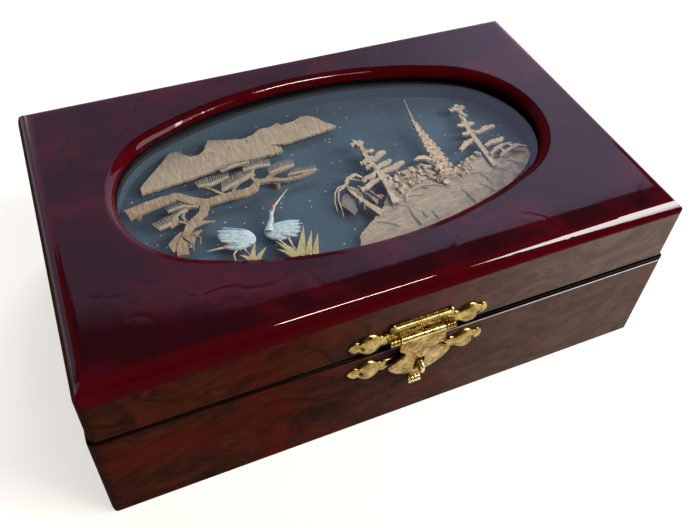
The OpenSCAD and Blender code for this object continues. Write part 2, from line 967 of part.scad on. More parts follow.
module clasp_lower_plate() {
    block_w = 20;
    block_h = 12;
    color("#c8a545")
        difference() {
            on_base(-lower_drop)
                difference() {
                    linear_extrude(plate_t) {
                        arms();
                        square([block_w, block_h], center = true);
                    }
                    nail_holes();
                }
            on_base(staple_z - base_h)
                staple_legs();
        }
}

module clasp_lower_nails() {
    color("#e0c67a")
        on_base(-lower_drop)
            nails();
}

// The middle of the upper plate, its raised bar and the web to its two knuckles
bar_half = 10.7;
bar_low = 3.1;
bar_high = 7.9;
bar_rise = 1.2;

module clasp_upper_plate() {
    web_h = 1.8;
    color("#c8a545")
        on_lid()
            difference() {
                union() {
                    translate([0, upper_rise, 0])
                        linear_extrude(plate_t)
                            arms();
                    block([-bar_half, -eye_r, 0], [bar_half, bar_high + 0.2, plate_t]);
                    block([-bar_half, bar_low, 0], [bar_half, bar_high, plate_t + bar_rise]);
                    for (x = [-1, 1])
                        translate([x * (upper_eye_x + side_eye_w / 2), 0, 0]) {
                            translate([0, 0, clasp_off])
                                rod_x(eye_r, side_eye_w);
                            block([-side_eye_w / 2, -web_h / 2, 0],
                                  [side_eye_w / 2, web_h / 2, clasp_off]);
                        }
                }
                translate([0, 0, clasp_off])
                    rod_x(clasp_pin_r + run_fit, clasp_pin_len + 2 * eps);
                translate([0, upper_rise, 0])
                    nail_holes();
            }
}

module clasp_upper_nails() {
    color("#e0c67a")
        on_lid(upper_rise)
            nails();
}

module clasp_pin() {
    color("#b8963c")
        on_lid()
            translate([0, 0, clasp_off])
                rod_x(clasp_pin_r, clasp_pin_len);
}

// Outline of the leaf, hanging from the pin: a waist, two wings and a narrow tab
module leaf_outline() {
    right = [[leaf_eye_w / 2, 0], [leaf_eye_w / 2, -4.6], [5.2, -7.2], [9.6, -10.9],
             [11, -12.5], [10.4, -14.4], [8.4, -17], [4.4, -19.6], [tab_w / 2, -20]];
    left = [for (i = [len(right) - 1 : -1 : 0]) [-right[i][0], right[i][1]]];
    polygon(concat(right, left));
}

module clasp_leaf() {
    tab_end = -24.2;
    color("#cfae52")
        on_lid()
            difference() {
                union() {
                    translate([0, 0, clasp_off])
                        rod_x(eye_r, leaf_eye_w);
                    translate([0, 0, leaf_back])
                        linear_extrude(clasp_leaf_t) {
                            leaf_outline();
                            translate([-tab_w / 2, tab_end])
                                square([tab_w, -tab_end - slot_drop]);
                        }
                    translate([0, tab_end, leaf_back + lip_roll_r])
                        rod_x(lip_roll_r, tab_w);
                }
                translate([0, 0, clasp_off])
                    rod_x(clasp_pin_r + run_fit, leaf_eye_w + 2 * eps);
                translate([0, -slot_drop, leaf_back - eps])
                    linear_extrude(clasp_leaf_t + 2 * eps)
                        square([slot_w, slot_len], center = true);
            }
}

// ---- The whole box, one line for each piece ----

base_front();
base_right();
base_back();
base_left();
base_floor();
base_felt();
base_lining(0);  // base_lining_front
base_lining(1);  // base_lining_right
base_lining(2);  // base_lining_back
base_lining(3);  // base_lining_left
base_pad();
ring_bay_card();
ring_rolls();
divider();
hinge_base_leaves();
hinge_pins();
hinge_base_screws();
clasp_lower_plate();
clasp_lower_nails();
clasp_staple();
lid_front();
lid_right();
lid_back();
lid_left();
lid_top();
window_glass();
picture_surround();
picture_board();
cork_mountain();
cork_pine();
crane_feeding();
crane_standing();
cork_grass();
cork_island();
cork_conifer_left();
cork_conifer_right();
cork_pagoda();
cork_willow();
cork_pavilion();
lid_lining();
lid_mirror();
mirror_braid();
hinge_lid_leaves();
hinge_lid_screws();
clasp_upper_plate();
clasp_upper_nails();
clasp_pin();
clasp_leaf();
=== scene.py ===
# %% [markdown]
# # A lacquered jewelry box
#
# This lesson dresses a jewelry box whose solids are already made and placed.
# The box is glossy dark red lacquer over wood. An oval of glass in its lid covers a small
# landscape of carved cork, and a stamped brass clasp closes the front.
# Each step says what the piece is on the real box, how it could be made, and why it is
# made this way here.

# %% Load the frame
import json
import math
import bmesh
import bpy
from mathutils import Matrix, Vector, noise


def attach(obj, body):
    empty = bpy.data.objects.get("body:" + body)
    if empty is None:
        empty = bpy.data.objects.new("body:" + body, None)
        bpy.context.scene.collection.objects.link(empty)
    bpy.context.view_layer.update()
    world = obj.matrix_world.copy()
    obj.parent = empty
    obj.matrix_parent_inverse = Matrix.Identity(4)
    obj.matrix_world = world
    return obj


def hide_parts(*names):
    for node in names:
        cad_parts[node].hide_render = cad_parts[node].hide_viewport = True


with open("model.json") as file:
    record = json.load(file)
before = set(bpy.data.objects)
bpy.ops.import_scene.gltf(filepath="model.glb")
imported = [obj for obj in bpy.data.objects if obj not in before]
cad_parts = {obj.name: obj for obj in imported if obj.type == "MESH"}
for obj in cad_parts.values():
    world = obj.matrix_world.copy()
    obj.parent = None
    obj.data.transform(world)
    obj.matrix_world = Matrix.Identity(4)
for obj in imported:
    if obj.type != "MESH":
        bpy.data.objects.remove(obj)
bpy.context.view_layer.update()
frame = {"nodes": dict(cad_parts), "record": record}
nodes = frame["nodes"]
MM = 0.001
SEED = 52
shift = Matrix.Translation
noise.seed_set(SEED)                    # without it each run's noise is a little different
print("pieces in the frame:", len(nodes))


def turned(degrees, axis):
    return Matrix.Rotation(math.radians(degrees), 4, axis)


def placed(name, data):
    """A new object in the scene."""
    obj = bpy.data.objects.new(name, data)
    bpy.context.scene.collection.objects.link(obj)
    return obj


# %% [markdown]
# ## The camera
#
# The view looks down on the lid from the left of the front. A camera could be aimed by a
# constraint, but a matrix built from three directions also holds a small roll, so the
# camera gets its matrix directly.

# %% Camera
AZIMUTH, ELEVATION, ROLL = (math.radians(a) for a in (25.5, 45.7, 3.71))
TARGET = Vector((3.79, 0.78, 40.0)) * MM
DISTANCE = 282.19 * MM
LENS = 39.05
LENS_SHIFT = (0.0064, -0.0739)          # in widths of the frame

ahead = Vector((math.sin(AZIMUTH) * math.cos(ELEVATION),
                math.cos(AZIMUTH) * math.cos(ELEVATION), -math.sin(ELEVATION)))
level = Vector((math.cos(AZIMUTH), -math.sin(AZIMUTH), 0))
upward = level.cross(ahead)
right = level * math.cos(ROLL) + upward * math.sin(ROLL)
up = upward * math.cos(ROLL) - level * math.sin(ROLL)

camera_data = bpy.data.cameras.new("camera")
camera_data.lens = LENS
camera_data.sensor_fit = "HORIZONTAL"
camera_data.shift_x, camera_data.shift_y = LENS_SHIFT
camera_data.clip_start, camera_data.clip_end = 0.01, 20
camera = placed("camera", camera_data)
camera.matrix_world = shift(TARGET - ahead * DISTANCE) @ Matrix(
    (right, up, -ahead)).transposed().to_4x4()
bpy.context.scene.camera = camera
print("camera at", [round(v, 3) for v in camera.matrix_world.translation])

# %% [markdown]
# ## A short way to write materials
#
# Every material below is a small graph of nodes. Wiring one by hand takes many lines, so
# this helper adds a node, sets its settings, and links or sets its inputs in one call.
# Object coordinates are the box's own millimetres once they are scaled by 1000, and they
# don't slide when a piece moves, so all patterns read them.

# %% Material helpers
class Paint:
    """The nodes of a new material, or of an owner that is given, added call by call."""

    def __init__(self, name, owner=None):
        self.owner = owner or bpy.data.materials.new(name)
        self.owner.use_nodes = True
        self.tree = self.owner.node_tree
        self.tree.nodes.clear()
        self.place = self.add("ShaderNodeTexCoord")
        self.mm = self.vector("MULTIPLY", self.place["Object"], (1000, 1000, 1000))

    def add(self, kind, inputs=(), **settings):
        """Adds a node. Inputs are values or sockets, by order or by name."""
        node = self.tree.nodes.new(kind)
        for key, value in settings.items():
            setattr(node, key, value)
        pairs = inputs.items() if isinstance(inputs, dict) else enumerate(inputs)
        for key, value in pairs:
            if value is not None:
                self.feed(node.inputs[key], value)
        return {**{s.name: s for s in node.outputs}, "node": node}

    def feed(self, socket, value):
        """Links a socket, or sets a value. A colour may leave out its alpha."""
        if isinstance(value, bpy.types.NodeSocket):
            self.tree.links.new(value, socket)
        else:
            if socket.type == "RGBA" and len(value) == 3:
                value = (*value, 1)
            socket.default_value = value

    def maths(self, operation, *values):
        return self.add("ShaderNodeMath", values, operation=operation)["Value"]

    def times(self, first, *others):
        for other in others:
            first = self.maths("MULTIPLY", first, other)
        return first

    def less(self, a, b):
        return self.maths("SUBTRACT", a, b)

    def most(self, first, *others):
        for other in others:
            first = self.maths("MAXIMUM", first, other)
        return first

    def vector(self, operation, *values):
        return self.add("ShaderNodeVectorMath", values, operation=operation)["Vector"]

    def split(self, vector):
        made = self.add("ShaderNodeSeparateXYZ", [vector])
        return made["X"], made["Y"], made["Z"]

    def stretched(self, *scales, at=None):
        """Coordinates scaled by three numbers."""
        return self.vector("MULTIPLY", at or self.mm, scales)

    def drifting(self, scale, reach, detail):
        """Coordinates bent aside, by up to half of reach, by a slow noise."""
        colour = self.add("ShaderNodeTexNoise", {
            "Vector": self.mm, "Scale": 1 / scale, "Detail": detail})["Color"]
        aside = self.vector("SUBTRACT", colour, (0.5, 0.5, 0.5))
        return self.vector("ADD", self.mm, self.stretched(reach, reach, reach, at=aside))

    def noise(self, scale, detail=4, roughness=0.5, at=None, distortion=0):
        """Noise whose features are about scale millimetres across."""
        return self.add("ShaderNodeTexNoise", {
            "Vector": at or self.mm, "Scale": 1 / scale, "Detail": detail,
            "Roughness": roughness, "Distortion": distortion})["Fac"]

    def cell_edges(self, scale, at):
        """The distance to the edge of the nearest cell, in cells."""
        return self.add("ShaderNodeTexVoronoi", {"Vector": at, "Scale": 1 / scale},
                        feature="DISTANCE_TO_EDGE")["Distance"]

    def span(self, value, low, high, to_low=0.0, to_high=1.0, smooth=True):
        """Maps low..high to to_low..to_high, held at both ends."""
        return self.add("ShaderNodeMapRange", [value, low, high, to_low, to_high],
                        interpolation_type="SMOOTHSTEP" if smooth else "LINEAR")["Result"]

    def near(self, value, place, whole, none):
        """1 within whole of a place, and 0 beyond none."""
        away = self.maths("ABSOLUTE", self.less(value, place))
        return self.span(away, whole, none, 1, 0)

    def mix(self, factor, a, b):
        node = self.tree.nodes.new("ShaderNodeMix")
        node.data_type = "RGBA"
        for key, value in ((0, factor), (6, a), (7, b)):
            self.feed(node.inputs[key], value)
        return node.outputs[2]

    def bump(self, height, depth, strength=1.0, normal=None):
        """A bump whose height 0..1 stands for depth millimetres."""
        return self.add("ShaderNodeBump", {
            "Strength": strength, "Distance": depth * MM, "Height": height,
            "Normal": normal})["Normal"]

    def shade(self, **inputs):
        """The finished surface. Keyword names are the shader's inputs with _ for spaces."""
        made = self.add("ShaderNodeBsdfPrincipled",
                        {key.replace("_", " "): value for key, value in inputs.items()})
        return self.finish(made["BSDF"])

    def finish(self, shader):
        self.add("ShaderNodeOutputMaterial", [shader])
        return self.owner


def wear(obj, material):
    """Gives an object this one material."""
    obj.data.materials.clear()
    obj.data.materials.append(material)


# %% [markdown]
# ## Lacquer
#
# The box is painted black, then clouded with red lacquer and rubbed smooth under a clear
# coat. The clouds lie in overlapping scallops with a dark line along one side and a red
# glow inside. A painted image could hold them, but a cell pattern on bent coordinates
# gives the same scallops and runs on over every face. The rims and the inside are plain
# black paint, chosen here by place.

# %% Lacquer material
SEAM, PAINTED_GLINT_Z = 44.2, 42.85          # heights of the black seam and of the pale rim
FRONT = -61.9                           # just behind the front faces
LID_TOP = 70.0


def lacquer():
    p = Paint("marbled_lacquer")
    x, y, z = p.split(p.mm)
    bent = p.stretched(0.7, 1.3, 1.2, at=p.drifting(38, 46, 2.5))
    scallop = p.cell_edges(42, bent)
    # the top: red clouds in dark scallops
    cloud = p.span(p.noise(30, 3, 0.5), 0.34, 0.7)
    smear = p.span(p.noise(5, 6, 0.65, at=p.stretched(0.35, 1, 1, at=bent)), 0.3, 0.72)
    glow = p.times(p.span(scallop, 0.02, 0.3, 1.0, 0.25), p.maths("ADD", cloud, 0.2),
                   p.span(smear, 0, 1, 0.6, 1.15))
    colour = p.mix(p.span(glow, 0.05, 1.0), (0.0135, 0.0013, 0.0025), (0.036, 0.0014, 0.0042))
    line = p.times(p.span(scallop, 0.002, 0.022, 1, 0),
                   p.span(p.noise(24, 1), 0.44, 0.58), 0.6)
    colour = p.mix(line, colour, (0.006, 0.001, 0.0018))
    # the walls: brown and olive streaks over the same red ground. Their brown is partly a
    # painted reflection of a brown surface in front, and a grey wash on the right of the front is
    # dust with a painted sheen
    streak = p.span(p.noise(6, 6, 0.65, distortion=0.6, at=p.stretched(0.4, 1, 1, at=bent)),
                    0.3, 0.72)
    brown = p.mix(streak, (0.012, 0.0036, 0.0017), (0.044, 0.0088, 0.0038))
    brown = p.mix(p.span(p.noise(20, 3, 0.6), 0.45, 0.7, 0, 0.65), brown,
                  (0.058, 0.0040, 0.0020))
    brown = p.mix(line, brown, (0.006, 0.003, 0.002))
    # painted sheen over a little dust: a pale grey wash on the right of the front faces
    dust_and_painted_sheen = p.times(p.span(x, -45, 84), p.span(streak, 0, 1, 0.7, 1.0),
                    p.span(y, FRONT, -38, 1, 0), p.span(z, 42, 46, 0.62, 0.95))
    brown = p.mix(dust_and_painted_sheen, brown, (0.110, 0.083, 0.069))
    # the brown walls meet the red top along a line that rises toward the right, the painted edge
    # of their reflection
    border = p.maths("ADD", p.span(x, -95, -10, 62.5, 65.3, smooth=False),
                     p.span(x, -10, 60, 0, 0.7))
    wall = p.span(p.less(z, border), -0.5, 0.3, 1, 0)
    colour = p.mix(wall, colour, brown)
    # worn thinner over the roundings, where the red shows most
    lip = p.times(p.span(z, 66, 66.4), p.span(z, 69.6, 69.95, 1, 0))
    outer = p.times(p.less(1.0, wall), p.span(z, 68.6, 69.95, 1, 0))
    colour = p.mix(p.times(p.most(lip, outer), 0.6), colour, (0.050, 0.0003, 0.0010))
    # plain black: the rims at the seam, the inner faces, and the window's wall. Toward the right
    # the seam's band grows wider than the black rims, as painted shade for the wider gap where
    # the lid stands a little open
    from_seam = p.maths("ABSOLUTE", p.less(z, SEAM))
    seam = p.span(p.less(from_seam, p.span(x, -75, 50, 0.5, 1.25)), 0, 0.15, 1, 0)
    within = p.times(p.near(x, 0, 95, 95.2), p.near(y, 0, 57, 57.2))
    inner = p.times(within, p.span(z, 66.6, 67.0, 1, 0))
    colour = p.mix(p.most(seam, inner), colour, (0.003, 0.0026, 0.0026))
    # painted glint: a pale line along the corner of the base's rim, brightest on the right of the
    # front
    painted_rim_glint = p.times(p.near(z, PAINTED_GLINT_Z, 0.12, 0.30), p.span(x, -30, 60, 0, 1.0),
                     p.span(p.noise(7, 2), 0.30, 0.50, 0.35, 1), p.less(1.0, within),
                     p.span(y, FRONT, -58, 1, 0.15))
    colour = p.mix(painted_rim_glint, colour, (0.50, 0.47, 0.49))
    # the walls are satin, the top is polished, and the window's lip is dull in
    # places, so that its shine is broken
    in_window = p.times(p.near(x, 0, 93, 95), p.near(y, 0, 55, 57))
    first = p.times(p.span(p.noise(2.6, 1), 0.46, 0.54), p.near(x, -40.5, 6.5, 8.5))
    bright = p.most(first, p.near(x, 0, 9, 20), p.span(x, -72, -64, 1, 0),
                    p.span(z, LID_TOP - 0.1, LID_TOP - 0.02))
    bright = p.most(p.span(bright, 0, 1, 0.12, 1.0), p.less(1.0, in_window))
    gloss = p.maths("MINIMUM", p.span(z, 67.2, 68.9, 0.03, 1.0), bright)
    # waves in the coat, and the top falls away to its front
    ripple = p.bump(p.noise(26, 1), 0.25, 0.4)
    ripple = p.bump(p.noise(6, 2), 0.035, 0.5, ripple)
    ripple = p.bump(p.span(scallop, 0.0, 0.05), 0.05, 0.25, ripple)
    fall = p.span(y, -57, -50, 1, 0, smooth=False)
    ripple = p.bump(p.times(fall, fall, -1.0), 0.45, 1.0, ripple)
    return p.shade(Base_Color=colour, Roughness=0.5, Specular_IOR_Level=0.0, Coat_Weight=gloss,
                   Coat_Roughness=0.03, Coat_IOR=1.5, Coat_Normal=ripple)


LACQUER = lacquer()
print("lacquer nodes:", len(LACQUER.node_tree.nodes))


# %% [markdown]
# ## Brass
#
# Pressed brass goes dull in its hollows and stays bright where hands rub it. The leaf of
# the clasp is also chased with veins, which are cell edges here, cut in by a bump and
# darkened. Five mixes of one recipe serve the plates, the leaf, its roll, the knuckles and
# the nails. The palest mix, on the leaf's roll, is painted highlight on a part that faces
# down into shade, and the bright mix on the barrel is partly painted highlight too.

# %% Brass
def brass(name, dark, light, chased=0.0, rough=(0.2, 0.4), beaten=0.3):
    p = Paint(name)
    colour = p.mix(p.span(p.noise(3.5, 5, 0.6), 0.35, 0.7), dark, light)
    veins = p.cell_edges(3.4, p.stretched(1.0, 1.0, 0.62, at=p.drifting(4, 5, 2)))
    cut = p.times(p.span(veins, 0.0, 0.075, 1, 0), chased)
    colour = p.mix(p.times(cut, 0.8), colour, (0.10, 0.055, 0.012))
    height = p.less(p.times(p.noise(2.2, 1, 0.5), beaten), cut)
    gloss = p.span(p.noise(1.6, 4, 0.6), 0.3, 0.7, *rough)
    return p.shade(Base_Color=colour, Metallic=1.0, Roughness=gloss,
                   Normal=p.bump(height, 0.10, 0.45))


PALE_BRASS = brass("pale_brass", (0.20, 0.135, 0.034), (0.56, 0.41, 0.135), 0.25, (0.16, 0.36))
CHASED_BRASS = brass("chased_brass", (0.20, 0.12, 0.026), (0.60, 0.42, 0.130), 1.0,
                     (0.26, 0.45))
# brass for the knuckles, hinges and staple, worn bright; on the barrel it is also a painted
# highlight
BRIGHT_BRASS = brass("worn_and_highlit_brass", (0.46, 0.35, 0.13), (0.74, 0.61, 0.29), 0.0, (0.18, 0.30),
                     beaten=0.1)
# painted highlight: a pale brass that lights the leaf's roll, which faces down into shade
ROLL_HIGHLIGHT_BRASS = brass("roll_painted_highlight_brass", (0.60, 0.50, 0.20), (0.95, 0.84, 0.48), 0.0, (0.2, 0.34))
# dark brass: tarnish on the nails, and painted shade where it marks the screw slots
DARK_BRASS = brass("tarnished_and_slot_shade_brass", (0.05, 0.03, 0.010), (0.13, 0.08, 0.03), 0.0,
                   (0.35, 0.55))

# %% [markdown]
# ## Other finishes
#
# Each of these is a few nodes: a colour that varies a little at the right scale, a bump
# for its grain, and the gloss of the real stuff. The corks are one recipe in many stains:
# streaks along the grain, with a few dark flecks.

# %% Cloth, card, glass and the rest
def velvet():
    p = Paint("wine_velvet")
    pile = p.noise(0.35, 2)
    brush = p.span(p.noise(14, 3, 0.6), 0.35, 0.65)
    colour = p.mix(brush, (0.074, 0.0034, 0.0085), (0.116, 0.0060, 0.0135))
    colour = p.mix(p.span(pile, 0.35, 0.65, 0, 0.35), colour, (0.04, 0.003, 0.006))
    return p.shade(Base_Color=colour, Roughness=0.9, Sheen_Weight=0.45,
                   Sheen_Roughness=0.35, Sheen_Tint=(0.75, 0.25, 0.3),
                   Normal=p.bump(pile, 0.15, 0.6))


def felt():
    p = Paint("black_felt")
    hair = p.noise(0.5, 4, 0.7)
    return p.shade(Base_Color=p.mix(hair, (0.008, 0.008, 0.009), (0.03, 0.03, 0.033)),
                   Roughness=0.95, Sheen_Weight=0.3, Normal=p.bump(hair, 0.2, 0.7))


def slate():
    """A slate blue wash with a little lint on it."""
    p = Paint("slate_board")
    wash = p.span(p.noise(26, 4, 0.55), 0.3, 0.7)
    colour = p.mix(wash, (0.027, 0.047, 0.068), (0.042, 0.070, 0.098))
    specks = p.add("ShaderNodeTexVoronoi", {"Vector": p.mm, "Scale": 1 / 2.2})
    lint = p.times(p.span(specks["Distance"], 0.09, 0.19, 1, 0),
                   p.span(specks["Color"], 0.6, 0.62), 0.7)
    colour = p.mix(lint, colour, (0.42, 0.46, 0.5))
    return p.shade(Base_Color=colour, Roughness=0.8,
                   Normal=p.bump(p.noise(0.6, 3), 0.05, 0.4))


def card():
    """Black card, but slate on the picture's walls below a black edge under the glass."""
    p = Paint("black_card")
    grain = p.noise(0.5, 3)
    colour = p.mix(grain, (0.004, 0.004, 0.005), (0.010, 0.010, 0.012))
    z = p.split(p.mm)[2]
    wall = p.times(p.span(z, 61.6, 62.0, 1, 0), p.span(z, 56.0, 56.2))
    colour = p.mix(wall, colour, (0.040, 0.066, 0.092))
    return p.shade(Base_Color=colour, Roughness=0.7, Normal=p.bump(grain, 0.05, 0.4))


def pith():
    p = Paint("white_pith")
    feathers = p.noise(0.8, 3, 0.5, at=p.stretched(0.5, 2.2, 1.0))
    colour = p.mix(p.span(feathers, 0.42, 0.66), (0.42, 0.475, 0.50), (0.20, 0.26, 0.30))
    return p.shade(Base_Color=colour, Roughness=0.6, Normal=p.bump(feathers, 0.1, 0.5))


def bare_wood():
    """Plain wood below, stained like the velvet where the linings leave a gap."""
    p = Paint("plain_wood")
    grain = p.noise(3, 5, 0.6, at=p.stretched(0.12, 1.0, 1.0))
    colour = p.mix(p.span(grain, 0.3, 0.7), (0.34, 0.2, 0.1), (0.55, 0.37, 0.2))
    colour = p.mix(p.span(p.split(p.mm)[2], 4.0, 4.4), colour, (0.03, 0.003, 0.006))
    return p.shade(Base_Color=colour, Roughness=0.6, Normal=p.bump(grain, 0.1, 0.4))


def braid():
    p = Paint("gold_braid")
    threads = p.add("ShaderNodeTexWave", {"Vector": p.mm, "Scale": 0.35,
                                          "Distortion": 1.5, "Detail": 1},
                    bands_direction="DIAGONAL")["Fac"]
    colour = p.mix(threads, (0.2, 0.12, 0.03), (0.62, 0.46, 0.18))
    return p.shade(Base_Color=colour, Roughness=0.5, Metallic=0.3,
                   Normal=p.bump(threads, 0.3, 0.8))


def silvering():
    p = Paint("mirror_silver")
    haze = p.span(p.noise(9, 4, 0.6), 0.4, 0.8, 0.02, 0.06)
    return p.shade(Base_Color=(0.86, 0.88, 0.88), Metallic=1.0, Roughness=haze)


def pane():
    """Clear glass: what is behind shows straight through it, under its own mirror shine."""
    p = Paint("clear_pane")
    facing = p.less(1.0, p.add("ShaderNodeNewGeometry")["Backfacing"])
    shine = p.times(p.add("ShaderNodeFresnel", {"IOR": 1.5})["Fac"], facing)
    smears = p.span(p.noise(18, 4, 0.6), 0.4, 0.8, 0.0, 0.04)
    mirror = p.add("ShaderNodeBsdfGlossy", {"Roughness": smears})["BSDF"]
    clear = p.add("ShaderNodeBsdfTransparent", [(0.96, 0.98, 0.97)])["BSDF"]
    return p.finish(p.add("ShaderNodeMixShader", [shine, clear, mirror])["Shader"])


def tint(name, dark, light, rough=0.6):
    p = Paint(name)
    return p.shade(Base_Color=p.mix(p.span(p.noise(0.7, 4, 0.6), 0.3, 0.7), dark, light),
                   Roughness=rough, Normal=p.bump(p.noise(0.5, 3), 0.05, 0.4))


# %% Corks
INK = (0.10, 0.075, 0.055)
GREY_SHADE = (0.085, 0.09, 0.095)


def stained(name, dark, light, along=(1.7, 0.22, 1.0), inked=0.35, smoked=False):
    p = Paint(name)
    grain = p.noise(0.9, 6, 0.72, at=p.stretched(*along))
    colour = p.mix(p.span(grain, 0.32, 0.68), dark, light)
    colour = p.mix(p.span(p.noise(6, 4, 0.6), 0.4, 0.75, 0, 0.4), colour, dark)
    flecks = p.noise(0.7, 3, 0.6, at=p.stretched(2.4, 0.55, 1.0))
    colour = p.mix(p.span(flecks, 0.64, 0.72, 0, inked), colour, INK)
    # painted shade: grey-blue patches that darken the island toward its right-hand end
    if smoked:                          # thicker toward the right-hand end
        painted_shade_patches = p.span(p.noise(4.5, 5, 0.65, distortion=0.8), 0.42, 0.62)
        thick = p.span(p.split(p.mm)[0], 28, 74, 0.28, 0.85)
        colour = p.mix(p.times(painted_shade_patches, thick), colour, GREY_SHADE)
    return p.shade(Base_Color=colour, Roughness=0.85, Normal=p.bump(grain, 0.2, 0.6))


HILL_CORK = stained("hill_cork", (0.22, 0.155, 0.108), (0.375, 0.290, 0.215))
TREE_CORK = stained("tree_cork", (0.155, 0.090, 0.050), (0.37, 0.27, 0.185))
NEEDLE_CORK = stained("needle_cork", (0.22, 0.165, 0.115), (0.38, 0.305, 0.235), inked=0.15)
PALE_CORK = stained("pale_cork", (0.24, 0.17, 0.125), (0.49, 0.385, 0.29), inked=0.3)
SMOKED_CORK = stained("smoked_cork", (0.10, 0.08, 0.07), (0.19, 0.155, 0.135))
STRAW = stained("straw", (0.25, 0.19, 0.085), (0.42, 0.345, 0.19), inked=0.1)
# the island's cork carries painted shade on its right-hand end
ISLAND_CORK = stained("island_cork", (0.23, 0.165, 0.12), (0.40, 0.31, 0.23),
                      along=(0.3, 1.5, 1.0), smoked=True)
PAGODA_CORK = stained("pagoda_cork", (0.30, 0.19, 0.13), (0.56, 0.42, 0.31),
                      along=(1.2, 1.2, 1.0))
ROOF_CORK = stained("roof_cork", (0.25, 0.16, 0.12), (0.45, 0.34, 0.27))

# %% Every piece in its finish
FINISH = {"lacquer": LACQUER, "bare_wood": bare_wood(), "felt": felt(),
          "lining_fabric": velvet(), "glass": pane(), "mirror": silvering(),
          "braid": braid(), "black_card": card(), "slate_board": slate(), "cork": HILL_CORK,
          "white_pith": pith(), "brass": BRIGHT_BRASS}
SLOT_OF = {s["node"]: s["material_slot"] for s in frame["record"]["subparts"]}
for name, node in nodes.items():
    wear(node, FINISH[SLOT_OF[name]])
print("finishes:", len(FINISH))

# %% [markdown]
# ## Smooth copies
#
# The solids arrive as loose triangles with flat faces, which is right for a wall but shows
# facets in the gloss of a rounding. A copy can be joined at its corners, shaded smooth
# where its faces meet gently, and told to weigh its normals by face size, so that flat
# parts stay flat.

# %% Smooth copies
def hand_over(piece, body, slot, *replaced, finish=None):
    """Puts a finished piece on its body, in place of the solids it stands for."""
    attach(piece, body)
    wear(piece, finish or FINISH[slot])
    if replaced:
        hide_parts(*replaced)
    return piece


def drawn(bm, mesh, name, crease):
    """Writes a shape to a mesh, smooth but for edges sharper than crease degrees."""
    for f in bm.faces:
        f.smooth = True
    for e in bm.edges:
        e.smooth = len(e.link_faces) == 2 and e.calc_face_angle(0) < math.radians(crease)
    bm.to_mesh(mesh)
    bm.free()
    return placed(name, mesh)


def smooth_copy(node, name, body, crease=35):
    mesh = nodes[node].data.copy()
    mesh.name = name
    bm = bmesh.new()
    bm.from_mesh(mesh)
    bmesh.ops.remove_doubles(bm, verts=bm.verts, dist=1e-6)
    bmesh.ops.dissolve_limit(bm, angle_limit=math.radians(0.5), verts=bm.verts,
                             edges=bm.edges)
    piece = drawn(bm, mesh, name, crease)
    piece.modifiers.new("weigh_normals", "WEIGHTED_NORMAL").keep_sharp = True
    return hand_over(piece, body, SLOT_OF[node], node)


lid_board = smooth_copy("lid_top", "lid_board", "lid")
print("lid board faces:", len(lid_board.data.polygons))

# %% [markdown]
# ## Modelling in millimetres
#
# The real brass and cork are worked in fractions of a millimetre, so the shapes below are
# drawn in millimetres and shrunk to metres at the end. A round shape is spun from a
# profile, a cut sheet is a closed line that is filled and raised, and a wire is a row of
# rings bridged together. Each could be typed in as points and faces, but the operators
# keep the walls closed and the work short.

# %% Modelling helpers
def shrunk(bm):
    """Turns millimetres into metres, and makes all faces look outward."""
    bmesh.ops.scale(bm, vec=(MM, MM, MM), verts=bm.verts)
    bmesh.ops.recalc_face_normals(bm, faces=bm.faces)


def piece_from(bm, name, body, slot, *replaced, turn=None, crease=35, finish=None):
    """Joins, turns and shrinks a shape drawn in millimetres, and hands the piece over."""
    bmesh.ops.remove_doubles(bm, verts=bm.verts, dist=1e-4)
    if turn:
        bmesh.ops.transform(bm, matrix=turn, verts=bm.verts)
    shrunk(bm)
    piece = drawn(bm, bpy.data.meshes.new(name), name, crease)
    return hand_over(piece, body, slot, *replaced, finish=finish)


def bevelled(bm, geometry, offset, segments=1, affect="EDGES"):
    bmesh.ops.bevel(bm, geom=geometry, offset=offset, offset_type="OFFSET",
                    segments=segments, profile=0.5, affect=affect, material=-1,
                    clamp_overlap=True)


def pulled(bm, faces, way):
    """Extrudes faces along way, and returns the vertices at the far end."""
    geometry = bmesh.ops.extrude_face_region(bm, geom=faces)["geom"]
    end = [g for g in geometry if isinstance(g, bmesh.types.BMVert)]
    bmesh.ops.translate(bm, vec=way, verts=end)
    return end


def divided(bm, place, facing):
    """Cuts all faces along a plane."""
    bmesh.ops.bisect_plane(bm, geom=bm.verts[:] + bm.edges[:] + bm.faces[:],
                           plane_co=place, plane_no=facing)


def both_ways(half, *middle):
    """A profile that is the same to the left and to the right of x = 0."""
    return [(-x, r) for x, r in reversed(half)] + [*middle] + half


def spun(bm, profile, degrees=360, steps=32, place=None):
    """Spins a profile of (along X, radius) round X, and puts it at place."""
    before = set(bm.verts)
    points = [bm.verts.new((x, r, 0)) for x, r in profile]
    edges = [bm.edges.new(pair) for pair in zip(points, points[1:])]
    bmesh.ops.spin(bm, geom=points + edges, cent=(0, 0, 0), axis=(1, 0, 0),
                   angle=math.radians(degrees), steps=steps, use_merge=degrees == 360)
    made = [v for v in bm.verts if v not in before]
    bmesh.ops.remove_doubles(bm, verts=made, dist=1e-4)
    made = [v for v in made if v.is_valid]
    if place:
        bmesh.ops.transform(bm, matrix=place, verts=made)
    return made


